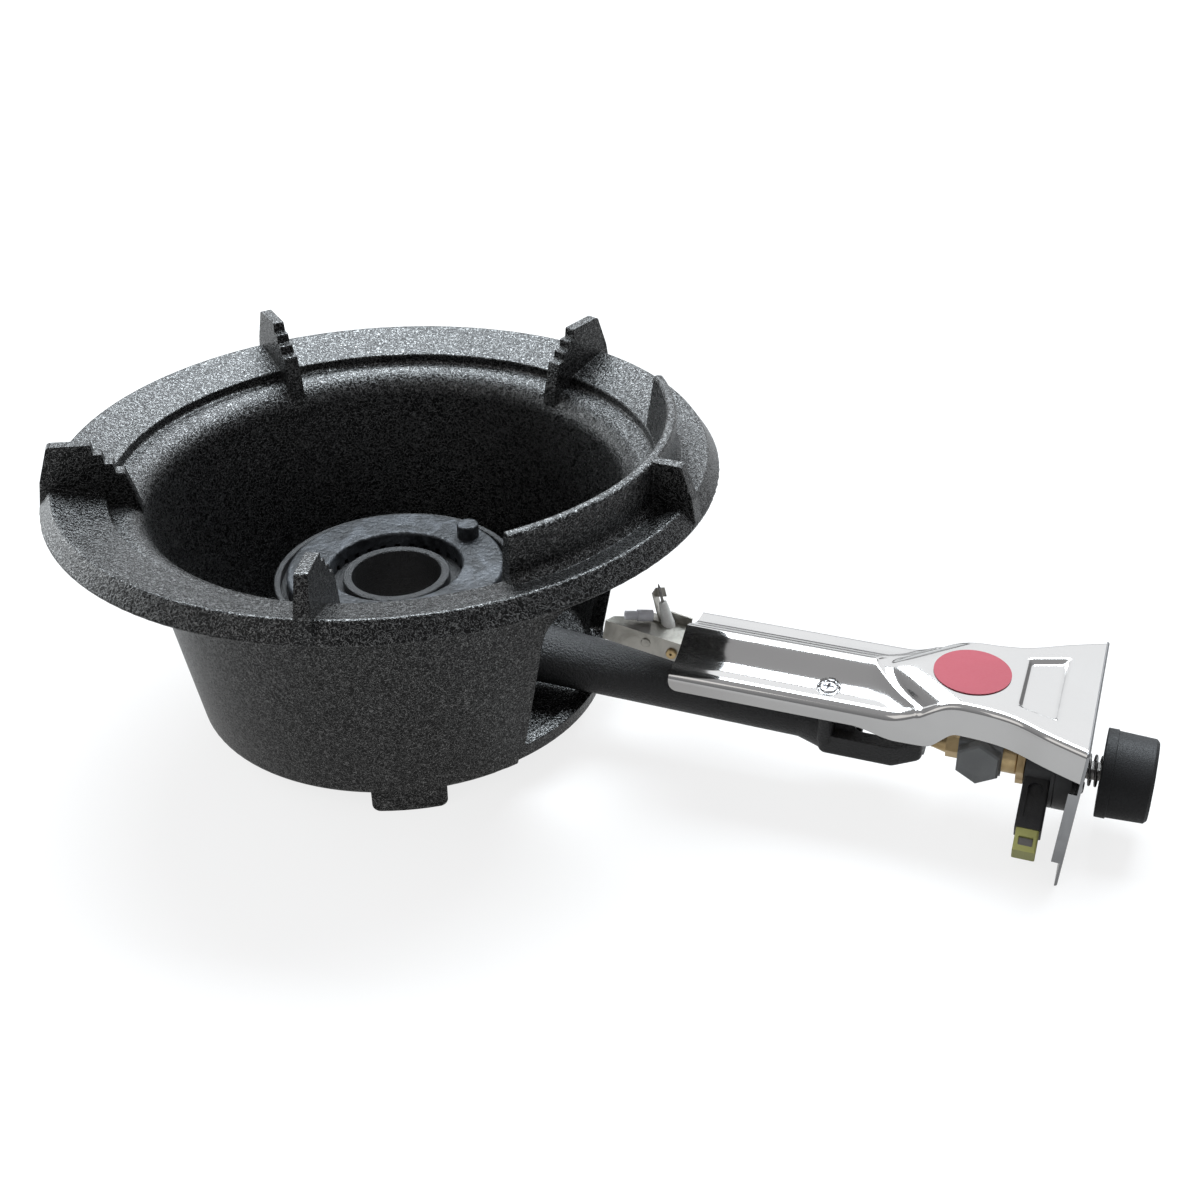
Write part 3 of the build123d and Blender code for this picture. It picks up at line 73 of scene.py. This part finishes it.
def setCamera(s):
    yaw, pitch, roll = s["yaw"], s["pitch"], s["roll"]
    ahead = Vector((-sin(yaw) * cos(pitch), cos(yaw) * cos(pitch), sin(pitch)))
    level = Vector((cos(yaw), sin(yaw), 0))
    above = level.cross(ahead)
    right = level * cos(roll) + above * sin(roll)
    up = above * cos(roll) - level * sin(roll)
    data = bpy.data.cameras.new("photoCamera")
    data.sensor_width = s["sensor"]
    data.lens = s["sensor"] * s["focalPixels"] / s["framePixels"]
    data.clip_start = s["clipStart"]
    camera = bpy.data.objects.new("photoCamera", data)
    turn = Matrix((right, up, -ahead)).transposed().to_4x4()
    camera.matrix_world = Matrix.Translation(s["place"]) @ turn
    scene.collection.objects.link(camera)
    scene.camera = camera


setCamera(cameraSet)
print("stove: camera set")

# studio: a bright panel high behind the stove, dim ones low behind it,
# in front and to its left, a pale room and floor
studioSet = {
    "lamps": {
        "highLamp": {
            "at": (-0.15, 1.05, 1.95),
            "aim": (0.0, 0.0, 0.1),
            "size": (2.4, 1.1),
            "power": 126,
            "colour": (0.86, 0.94, 1.0),
        },
        "lowLamp": {
            "at": (-0.2, 2.1, 1.05),
            "aim": (0.1, 0.0, 0.06),
            "size": (3.8, 1.5),
            "power": 21,
            "colour": (0.94, 0.97, 1.0),
        },
        "frontLamp": {
            "at": (-0.9, -1.6, 1.5),
            "aim": (0.05, 0.0, 0.06),
            "size": (1.2, 1.2),
            "power": 4,
            "colour": (1.0, 0.98, 0.95),
        },
        "leftLamp": {
            "at": (-1.9, 0.2, 0.5),
            "aim": (0.0, 0.0, 0.08),
            "size": (1.6, 1.0),
            "power": 25,
            "colour": (0.92, 0.97, 1.0),
        },
    },
    "zenith": (0.54, 0.545, 0.56),
    "horizon": (0.26, 0.265, 0.275),
    "floorColour": (0.18, 0.18, 0.18, 1),
    "floorRoughness": 0.9,
    "floorGlow": 0.80,  # what the camera sees on top of the lit paper
    "floorSheen": 0.46,  # what reflections see on top of it
    "floorHalf": 6.0,
    "floorDrop": 0.0002,
}


def addMath(tree, operation, first, second=None):
    node = tree.nodes.new("ShaderNodeMath")
    node.operation = operation
    for index, value in enumerate((first, second)):
        if value is None:
            continue
        if isinstance(value, (int, float)):
            node.inputs[index].default_value = value
        else:
            tree.links.new(value, node.inputs[index])
    return node.outputs["Value"]


def setLamp(name, s):
    data = bpy.data.lights.new(name, "AREA")
    data.color = s["colour"]
    data.shape = "RECTANGLE"
    data.size, data.size_y = s["size"]
    data.energy = s["power"]
    lamp = bpy.data.objects.new(name, data)
    lamp.location = s["at"]
    lamp.rotation_euler = (Vector(s["aim"]) - Vector(s["at"])).to_track_quat("-Z", "Y").to_euler()
    scene.collection.objects.link(lamp)


def setWorld(s):
    world = bpy.data.worlds.new("paleRoom")
    scene.world = world
    world.use_nodes = True
    tree = world.node_tree
    coords = tree.nodes.new("ShaderNodeTexCoord")
    parts = tree.nodes.new("ShaderNodeSeparateXYZ")
    blend = tree.nodes.new("ShaderNodeMix")
    blend.data_type = "RGBA"
    blend.inputs["A"].default_value = (*s["horizon"], 1)
    blend.inputs["B"].default_value = (*s["zenith"], 1)
    tree.links.new(coords.outputs["Generated"], parts.inputs["Vector"])
    tree.links.new(parts.outputs["Z"], blend.inputs["Factor"])
    tree.links.new(blend.outputs["Result"], tree.nodes["Background"].inputs["Color"])


def setFloor(s):
    bm = bmesh.new()
    bmesh.ops.create_grid(bm, x_segments=1, y_segments=1, size=s["floorHalf"])
    bmesh.ops.translate(bm, verts=bm.verts, vec=(0, 0, -s["floorDrop"]))
    mesh = bpy.data.meshes.new("studioFloor")
    bm.to_mesh(mesh)
    bm.free()
    floor = bpy.data.objects.new("studioFloor", mesh)
    scene.collection.objects.link(floor)
    paper = bpy.data.materials.new("palePaper")
    paper.use_nodes = True
    tree = paper.node_tree
    shader = tree.nodes["Principled BSDF"]
    shader.inputs["Base Color"].default_value = s["floorColour"]
    shader.inputs["Roughness"].default_value = s["floorRoughness"]
    shader.inputs["Specular IOR Level"].default_value = 0.0
    path = tree.nodes.new("ShaderNodeLightPath")
    direct = addMath(tree, "MULTIPLY", path.outputs["Is Camera Ray"], s["floorGlow"])
    mirrored = addMath(tree, "MULTIPLY", path.outputs["Is Glossy Ray"], s["floorSheen"])
    shader.inputs["Emission Color"].default_value = (1, 1, 1, 1)
    tree.links.new(addMath(tree, "ADD", direct, mirrored), shader.inputs["Emission Strength"])
    mesh.materials.append(paper)


for lampName, lampSet in studioSet["lamps"].items():
    setLamp(lampName, lampSet)
setWorld(studioSet)
setFloor(studioSet)
print("stove: studio set")


# shader groups that several finishes share
def newGroup(name, inputs, outputs):
    group = bpy.data.node_groups.new(name, "ShaderNodeTree")
    for label in inputs:
        group.interface.new_socket(label, in_out="INPUT", socket_type="NodeSocketFloat")
    for label in outputs:
        group.interface.new_socket(label, in_out="OUTPUT", socket_type="NodeSocketFloat")
    return group, group.nodes.new("NodeGroupInput"), group.nodes.new("NodeGroupOutput")


def addNoise(tree, scaleSocket, s):
    coords = tree.nodes.new("ShaderNodeTexCoord")
    noise = tree.nodes.new("ShaderNodeTexNoise")
    noise.inputs["Detail"].default_value = s["detail"]
    noise.inputs["Roughness"].default_value = s["roughness"]
    noise.inputs["Distortion"].default_value = s["distortion"]
    tree.links.new(coords.outputs["Object"], noise.inputs["Vector"])
    tree.links.new(scaleSocket, noise.inputs["Scale"])
    return noise.outputs["Fac"]


def addRange(tree, value, low, high, outLow=0.0, outHigh=1.0):
    node = tree.nodes.new("ShaderNodeMapRange")
    node.interpolation_type = "SMOOTHSTEP"
    node.inputs["From Min"].default_value = low
    node.inputs["From Max"].default_value = high
    node.inputs["To Min"].default_value = outLow
    node.inputs["To Max"].default_value = outHigh
    tree.links.new(value, node.inputs["Value"])
    return node.outputs["Result"]


def veinGroup():
    s = {"detail": 1.0, "roughness": 0.5, "distortion": 0.9, "middle": 0.5, "fade": (0.35, 0.85)}
    group, given, made = newGroup("hammerVein", ("Scale", "Width"), ("Vein", "Height"))
    noise = addNoise(group, given.outputs["Scale"], s)
    centred = addMath(group, "SUBTRACT", noise, s["middle"])
    ridge = addMath(group, "ABSOLUTE", centred)
    near = addMath(group, "DIVIDE", ridge, given.outputs["Width"])
    group.links.new(addRange(group, near, *s["fade"], 1.0, 0.0), made.inputs["Vein"])
    group.links.new(noise, made.inputs["Height"])
    return group


def grainGroup():
    s = {"detail": 4.0, "roughness": 0.6, "distortion": 0.0, "fade": (0.38, 0.66)}
    group, given, made = newGroup("castGrain", ("Scale",), ("Height", "Mask"))
    noise = addNoise(group, given.outputs["Scale"], s)
    group.links.new(noise, made.inputs["Height"])
    group.links.new(addRange(group, noise, *s["fade"]), made.inputs["Mask"])
    return group


def smudgeGroup():
    s = {"detail": 3.0, "roughness": 0.6, "distortion": 0.8, "fade": (0.35, 0.75)}
    group, given, made = newGroup("handSmudge", ("Scale",), ("Mask",))
    noise = addNoise(group, given.outputs["Scale"], s)
    group.links.new(addRange(group, noise, *s["fade"]), made.inputs["Mask"])
    return group


hammerVein = veinGroup()
castGrain = grainGroup()
handSmudge = smudgeGroup()


# finishes
def newFinish(name, constants):
    material = bpy.data.materials.new(name)
    material.use_nodes = True
    shader = material.node_tree.nodes["Principled BSDF"]
    for socket, value in constants.items():
        shader.inputs[socket].default_value = value
    return material, material.node_tree, shader


def placeGroup(tree, group, **values):
    node = tree.nodes.new("ShaderNodeGroup")
    node.node_tree = group
    for socket, value in values.items():
        node.inputs[socket].default_value = value
    return node


def setColour(tree, shader, mask, s):
    node = tree.nodes.new("ShaderNodeMix")
    node.data_type = "RGBA"
    node.inputs["A"].default_value = (*s["low"], 1)
    node.inputs["B"].default_value = (*s["high"], 1)
    tree.links.new(mask, node.inputs["Factor"])
    tree.links.new(node.outputs["Result"], shader.inputs["Base Color"])


def setRoughness(tree, shader, mask, s):
    tree.links.new(addRange(tree, mask, 0.0, 1.0, *s["rough"]), shader.inputs["Roughness"])


def addBump(tree, shader, height, s):
    node = tree.nodes.new("ShaderNodeBump")
    if "edge" in s:
        soft = tree.nodes.new("ShaderNodeBevel")
        soft.samples = s["edgeSamples"]
        soft.inputs["Radius"].default_value = s["edge"]
        tree.links.new(soft.outputs["Normal"], node.inputs["Normal"])
    node.inputs["Distance"].default_value = s["depth"]
    node.inputs["Strength"].default_value = s["strength"]
    tree.links.new(height, node.inputs["Height"])
    tree.links.new(node.outputs["Normal"], shader.inputs["Normal"])


def hammerCoat():
    s = {
        "scale": 800.0,
        "width": 0.046,
        "low": (0.001, 0.001, 0.001),
        "high": (0.188, 0.188, 0.186),
        "rough": (0.27, 0.44),
        "specular": 0.24,
        "depth": 0.0009,
        "strength": 0.5,
        "edge": 0.0008,
        "edgeSamples": 6,
    }
    material, tree, shader = newFinish("hammerCoat", {"Specular IOR Level": s["specular"]})
    vein = placeGroup(tree, hammerVein, Scale=s["scale"], Width=s["width"])
    mask = vein.outputs["Vein"]
    setColour(tree, shader, mask, s)
    tree.links.new(mask, shader.inputs["Metallic"])
    setRoughness(tree, shader, mask, s)
    addBump(tree, shader, vein.outputs["Height"], s)
    return material


def heatBlack():
    s = {
        "scale": 1000.0,
        "low": (0.0012, 0.0012, 0.0014),
        "high": (0.014, 0.014, 0.0155),
        "rough": (0.40, 0.52),
        "specular": 0.6,
        "depth": 0.0011,
        "strength": 0.9,
        "edge": 0.0008,
        "edgeSamples": 6,
    }
    material, tree, shader = newFinish("heatBlack", {"Specular IOR Level": s["specular"]})
    grain = placeGroup(tree, castGrain, Scale=s["scale"])
    setColour(tree, shader, grain.outputs["Mask"], s)
    setRoughness(tree, shader, grain.outputs["Mask"], s)
    addBump(tree, shader, grain.outputs["Height"], s)
    return material


def gunIron():
    s = {
        "scale": 420.0,
        "patch": 75.0,
        "low": (0.008, 0.0092, 0.011),
        "high": (0.058, 0.063, 0.071),
        "rough": (0.36, 0.54),
        "metallic": 0.35,
        "specular": 0.5,
        "depth": 0.0014,
        "strength": 0.7,
        "edge": 0.0006,
        "edgeSamples": 6,
    }
    constants = {"Metallic": s["metallic"], "Specular IOR Level": s["specular"]}
    material, tree, shader = newFinish("gunIron", constants)
    grain = placeGroup(tree, castGrain, Scale=s["scale"])
    # lighter bluish blotches: partly painted sheen standing in for mottled highlights, partly
    # uneven tone of the iron
    toneAndSheenPatch = placeGroup(tree, handSmudge, Scale=s["patch"])
    setColour(tree, shader, toneAndSheenPatch.outputs["Mask"], s)
    setRoughness(tree, shader, grain.outputs["Mask"], s)
    addBump(tree, shader, grain.outputs["Height"], s)
    return material


def metalFinish(name, s):
    material, tree, shader = newFinish(name, {"Metallic": 1.0})
    smudge = placeGroup(tree, handSmudge, Scale=s["scale"])
    setColour(tree, shader, smudge.outputs["Mask"], s)
    setRoughness(tree, shader, smudge.outputs["Mask"], s)
    if "grain" in s:
        grain = placeGroup(tree, castGrain, Scale=s["grain"])
        addBump(tree, shader, grain.outputs["Height"], s)
    return material


def mouldedFinish(name, s):
    material, tree, shader = newFinish(name, {"Specular IOR Level": s["specular"]})
    smudge = placeGroup(tree, handSmudge, Scale=s["scale"])
    grain = placeGroup(tree, castGrain, Scale=s["grain"])
    setColour(tree, shader, smudge.outputs["Mask"], s)
    setRoughness(tree, shader, grain.outputs["Mask"], s)
    addBump(tree, shader, grain.outputs["Height"], s)
    return material


brightChrome = {
    "low": (0.515, 0.505, 0.495),
    "high": (0.475, 0.466, 0.457),
    "rough": (0.08, 0.15),
    "scale": 14.0,
}
# the end panel's chrome, darker than the cover's: painted shade for the dark reflection it shows
# at a grazing angle
shadedPanelMetal = {
    "low": (0.30, 0.30, 0.305),
    "high": (0.22, 0.22, 0.225),
    "rough": (0.14, 0.26),
    "scale": 40.0,
}
dullZinc = {
    "low": (0.43, 0.415, 0.38),
    "high": (0.29, 0.28, 0.25),
    "rough": (0.30, 0.45),
    "scale": 90.0,
    "grain": 900.0,
    "depth": 0.0002,
    "strength": 0.5,
}
platedSteel = {
    "low": (0.58, 0.58, 0.59),
    "high": (0.46, 0.46, 0.47),
    "rough": (0.22, 0.36),
    "scale": 120.0,
    "grain": 1500.0,
    "depth": 0.0001,
    "strength": 0.5,
}
dimSteel = {
    "low": (0.21, 0.20, 0.19),
    "high": (0.13, 0.125, 0.12),
    "rough": (0.30, 0.46),
    "scale": 120.0,
    "grain": 1500.0,
    "depth": 0.0001,
    "strength": 0.5,
}
turnedBrass = {
    "low": (0.55, 0.41, 0.22),
    "high": (0.38, 0.27, 0.14),
    "rough": (0.30, 0.50),
    "scale": 110.0,
    "grain": 1600.0,
    "depth": 0.0002,
    "strength": 0.5,
}
valveGrey = {
    "low": (0.24, 0.247, 0.25),
    "high": (0.31, 0.317, 0.32),
    "rough": (0.42, 0.58),
    "specular": 0.45,
    "scale": 60.0,
    "grain": 1200.0,
    "depth": 0.0004,
    "strength": 0.5,
}
igniterBlack = {
    "low": (0.026, 0.026, 0.027),
    "high": (0.048, 0.048, 0.049),
    "rough": (0.32, 0.46),
    "specular": 0.45,
    "scale": 40.0,
    "grain": 1500.0,
    "depth": 0.0002,
    "strength": 0.5,
}
knobBlack = {
    "low": (0.010, 0.010, 0.0105),
    "high": (0.016, 0.016, 0.017),
    "rough": (0.52, 0.66),
    "specular": 0.25,
    "scale": 30.0,
    "grain": 1500.0,
    "depth": 0.0003,
    "strength": 0.5,
}
piezoYellow = {
    "low": (0.66, 0.66, 0.23),
    "high": (0.58, 0.57, 0.19),
    "rough": (0.36, 0.48),
    "specular": 0.45,
    "scale": 80.0,
    "grain": 1500.0,
    "depth": 0.0002,
    "strength": 0.5,
}
whiteCeramic = {
    "low": (0.86, 0.85, 0.81),
    "high": (0.76, 0.75, 0.71),
    "rough": (0.22, 0.36),
    "specular": 0.45,
    "scale": 120.0,
    "grain": 1300.0,
    "depth": 0.0001,
    "strength": 0.5,
}
greyCeramic = {
    "low": (0.66, 0.65, 0.68),
    "high": (0.57, 0.56, 0.59),
    "rough": (0.48, 0.62),
    "specular": 0.45,
    "scale": 120.0,
    "grain": 1600.0,
    "depth": 0.0003,
    "strength": 0.5,
}
leadSkin = {
    "low": (0.60, 0.57, 0.52),
    "high": (0.50, 0.47, 0.42),
    "rough": (0.50, 0.62),
    "specular": 0.45,
    "scale": 60.0,
    "grain": 900.0,
    "depth": 0.0003,
    "strength": 0.5,
}
badgeRed = {
    "low": (0.29, 0.057, 0.074),
    "high": (0.27, 0.052, 0.068),
    "rough": (0.46, 0.54),
    "specular": 0.12,
    "scale": 30.0,
    "grain": 700.0,
    "depth": 0.00005,
    "strength": 0.5,
}
finishes = {
    "cast_black": hammerCoat(),
    "burner_black": heatBlack(),
    "cap_iron": gunIron(),
    "chrome": metalFinish("brightChrome", brightChrome),
    "zinc": metalFinish("dullZinc", dullZinc),
    "steel": metalFinish("platedSteel", platedSteel),
    "brass": metalFinish("turnedBrass", turnedBrass),
    "valve_grey": mouldedFinish("valveGrey", valveGrey),
    "igniter_black": mouldedFinish("igniterBlack", igniterBlack),
    "knob_black": mouldedFinish("knobBlack", knobBlack),
    "piezo_yellow": mouldedFinish("piezoYellow", piezoYellow),
    "ceramic_white": mouldedFinish("whiteCeramic", whiteCeramic),
    "ceramic_grey": mouldedFinish("greyCeramic", greyCeramic),
    "lead_skin": mouldedFinish("leadSkin", leadSkin),
    "badge_red": mouldedFinish("badgeRed", badgeRed),
}
darkSteel = metalFinish("darkSteel", dimSteel)
# painted shade: the end panel takes a darker copy of the chrome
shadedPanelChrome = metalFinish("shadedPanelChrome", shadedPanelMetal)
ownFinish = {
    "end_panel": shadedPanelChrome,
    "spark_needle": darkSteel,
    "piezo_contact": darkSteel,
    "spindle": darkSteel,
}
slotOf = {sub["node"]: sub["material_slot"] for sub in frame["record"]["subparts"]}
for name, node in nodes.items():
    node.data.materials.clear()
    node.data.materials.append(ownFinish.get(name, finishes[slotOf[name]]))
print("stove: finishes made,", len(finishes))


# smooth joins of two heights
def joinHigh(a, b, reach):
    near = max(reach - abs(a - b), 0) / reach
    return max(a, b) + near * near * reach / 4


def joinLow(a, b, reach):
    return -joinHigh(-a, -b, reach)


def ease(value, low, high):
    t = min(max((value - low) / (high - low), 0), 1)
    return t * t * (3 - 2 * t)


# smooth curve through points, read at x
def throughPoints(points, x):
    last = len(points) - 1
    i = max(k for k in range(last) if points[k][0] <= x or k == 0)
    (x0, y0), (x1, y1) = points[i], points[i + 1]
    before = points[max(i - 1, 0)]
    after = points[min(i + 2, last)]
    lean0 = (y1 - before[1]) / (x1 - before[0])
    lean1 = (after[1] - y0) / (after[0] - x0)
    run = x1 - x0
    t = min(max((x - x0) / run, 0), 1)
    start = (1 + 2 * t) * (1 - t) ** 2 * y0 + t * (1 - t) ** 2 * run * lean0
    return start + t * t * (3 - 2 * t) * y1 + t * t * (t - 1) * run * lean1


# handle cover: one pressed sheet, a height over its plan with rolled edges and a skirt, in mm
coverSet = {
    "columns": (  # from, to, step
        (142.5, 147.5, 0.5),
        (147.5, 203, 3.0),
        (203, 264, 0.5),
        (264, 285, 1.5),
        (285, 307, 0.6),
        (307, 317.35, 1.5),
    ),
    "rows": 96,
    "roundRows": 8,
    "skirtRows": 4,
    "flat": 57.3,
    "crest": 65.3,
    "crestHalf": 2.0,
    "crestFoot": 14.5,
    "footFillet": 3.6,
    "crestFillet": 2.6,
    "top": 67.2,
    "veeTip": 219.0,
    "veeTurn": radians(41.5),
    "tipRound": 4.0,
    "veeSlope": radians(55),
    "veeFillet": 9.0,
    "topFillet": 12.0,
    "fadeStart": 2.0,
    "fadeSlope": 2.0,
    "flatRound": 4.5,
    "topRound": 3.2,
    "sides": (
        (142.5, 27.4),
        (218, 27.4),
        (250, 27.2),
        (264, 25.7),
        (285, 28.1),
        (303, 36.5),
        (317.4, 42.6),
    ),
    "hem": (
        (142.5, 48.5),
        (222, 48.5),
        (242, 44.7),
        (254, 44.7),
        (266, 52.6),
        (330, 52.6),
    ),
    "hemCorner": 4.0,
    "pocketX": (287.0, 305.0),
    "pocketHalf": (18.3, 24.4),
    "pocketDepth": 1.8,
    "pocketWall": 3.2,
    "pocketCorner": 1.5,
    "dimpleAt": (210.2, -16.8),
    "dimpleRadius": 4.6,
    "dimpleRim": 0.5,
    "dimpleWall": 1.3,
    "dimpleDepth": 0.9,
    "leanFrom": 295.0,
    "lean": radians(3.3),
    "end": 317.35,
    "sheet": 1.0,
    "sharp": radians(35),
}


def coverHeight(s, x, y):
    slope = (s["crest"] - s["flat"]) / (s["crestFoot"] - s["crestHalf"])
    ramp = s["crest"] - slope * (abs(y) - s["crestHalf"])
    roof = joinLow(s["crest"], joinHigh(s["flat"], ramp, s["footFillet"]), s["crestFillet"])
    ahead = sin(s["veeTurn"]) * (x - s["veeTip"]) - cos(s["veeTurn"]) * hypot(y, s["tipRound"])
    raised = joinLow(s["flat"] + tan(s["veeSlope"]) * ahead, s["top"], s["topFillet"])
    roof -= max(ahead - s["fadeStart"], 0) * s["fadeSlope"]
    z = joinHigh(roof, raised, s["veeFillet"])
    x0, x1 = s["pocketX"]
    half = s["pocketHalf"][0] + (s["pocketHalf"][1] - s["pocketHalf"][0]) * (x - x0) / (x1 - x0)
    lengthwise = joinLow(x - x0, x1 - x, s["pocketCorner"])
    inside = joinLow(lengthwise, half - abs(y), s["pocketCorner"])
    return z - s["pocketDepth"] * ease(inside, 0, s["pocketWall"])


def dimpled(s, x, y, z):
    away = hypot(x - s["dimpleAt"][0], y - s["dimpleAt"][1])
    inside = s["dimpleRadius"] + s["dimpleRim"] - away
    if inside <= 0:
        return z
    return min(z, s["flat"] - s["dimpleDepth"] * ease(inside, 0, s["dimpleWall"]))


def hemHeight(s, x):
    points = s["hem"]
    i = max(k for k in range(len(points) - 1) if points[k][0] <= x)
    (x0, z0), (x1, z1) = points[i], points[i + 1]
    corner = max(1 - (x - points[0][0]) / s["hemCorner"], 0)
    return z0 + (z1 - z0) * ease(x, x0, x1) + s["hemCorner"] * (1 - cos(asin(corner)))


def coverSection(s, x):
    half = throughPoints(s["sides"], x)
    edge = coverHeight(s, x, half - s["topRound"])
    raised = ease(edge, s["flat"], s["top"])
    bend = s["flatRound"] + (s["topRound"] - s["flatRound"]) * raised
    inner = half - bend
    edge = coverHeight(s, x, inner)
    hem = hemHeight(s, x)
    one = []
    for i in range(s["skirtRows"]):
        one.append((half, hem + (edge - bend - hem) * i / s["skirtRows"]))
    for i in range(s["roundRows"]):
        turn = pi / 2 * i / s["roundRows"]
        one.append((inner + bend * cos(turn), edge - bend + bend * sin(turn)))
    middle = [inner - 2 * inner * i / s["rows"] for i in range(s["rows"] + 1)]
    line = [(-y, z) for y, z in one] + [(-y, coverHeight(s, x, y)) for y in middle] + one[::-1]
    return [(y, dimpled(s, x, y, z)) for y, z in line]


def pressedCover(s):
    places = []
    for start, stop, step in s["columns"]:
        count = max(round((stop - start) / step), 1)
        places += [start + (stop - start) * i / count for i in range(count)]
    places.append(s["end"])
    sections = [coverSection(s, x) for x in places]
    across, along = len(sections[0]) - 1, len(places) - 1
    bm = bmesh.new()
    bmesh.ops.create_grid(bm, x_segments=along, y_segments=across, size=1)
    for v in bm.verts:
        i = round((v.co.x + 1) / 2 * along)
        y, z = sections[i][round((v.co.y + 1) / 2 * across)]
        swing = tan(s["lean"]) * ease(places[i], s["leanFrom"], s["end"])
        v.co = Vector((places[i] - (s["top"] - z) * swing, y, z)) * mm
    bm.normal_update()
    outside = bm.verts[:]
    inside = bmesh.ops.duplicate(bm, geom=bm.verts[:] + bm.edges[:] + bm.faces[:])
    for v in outside:
        inside["vert_map"][v].co = v.co - v.normal * s["sheet"] * mm
    innerFaces = [f for f in inside["geom"] if isinstance(f, bmesh.types.BMFace)]
    bmesh.ops.reverse_faces(bm, faces=innerFaces)
    bmesh.ops.bridge_loops(bm, edges=[e for e in bm.edges if e.is_boundary])
    bmesh.ops.recalc_face_normals(bm, faces=bm.faces)
    for face in bm.faces:
        face.smooth = True
    for edge in bm.edges:
        edge.smooth = edge.calc_face_angle(0) < s["sharp"]
    mesh = bpy.data.meshes.new("coverSheet")
    bm.to_mesh(mesh)
    bm.free()
    piece = bpy.data.objects.new("coverSheet", mesh)
    scene.collection.objects.link(piece)
    mesh.materials.append(finishes["chrome"])
    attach(piece, "stove")
    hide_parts("handle_cover")
    return piece


cover = pressedCover(coverSet)
print("stove: cover pressed,", len(cover.data.polygons), "faces")

# knob spring: a wire wound where its solid is, in mm
springSet = {"wire": 1.1, "sides": 14, "turns": 3, "stepsPerTurn": 40, "stroke": 3.0}


def woundSpring(s):
    low, high = (Vector(corner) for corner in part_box("knob_spring"))
    middle = (low + high) / 2
    half = s["wire"] * mm / 2
    start = Matrix.Translation((low.x + half, high.y - half, middle.z))
    steps = s["turns"] * s["stepsPerTurn"]
    rise = (high.x - low.x - s["wire"] * mm) / steps
    bm = bmesh.new()
    ring = bmesh.ops.create_circle(bm, segments=s["sides"], radius=half, matrix=start)
    bmesh.ops.spin(
        bm,
        geom=ring["verts"] + bm.edges[:],
        cent=(0, 0, middle.z),
        axis=(1, 0, 0),
        dvec=(rise, 0, 0),
        angle=2 * pi * s["turns"],
        steps=steps,
    )
    bmesh.ops.holes_fill(bm, edges=[e for e in bm.edges if e.is_boundary], sides=0)
    bmesh.ops.recalc_face_normals(bm, faces=bm.faces)
    for face in bm.faces:
        face.smooth = len(face.verts) == 4
    mesh = bpy.data.meshes.new("woundSpring")
    bm.to_mesh(mesh)
    bm.free()
    piece = bpy.data.objects.new("woundSpring", mesh)
    scene.collection.objects.link(piece)
    mesh.materials.append(darkSteel)
    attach(piece, "stove")
    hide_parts("knob_spring")
    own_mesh(piece)
    return piece


spring = woundSpring(springSet)
print("stove: spring wound,", len(spring.data.polygons), "faces")
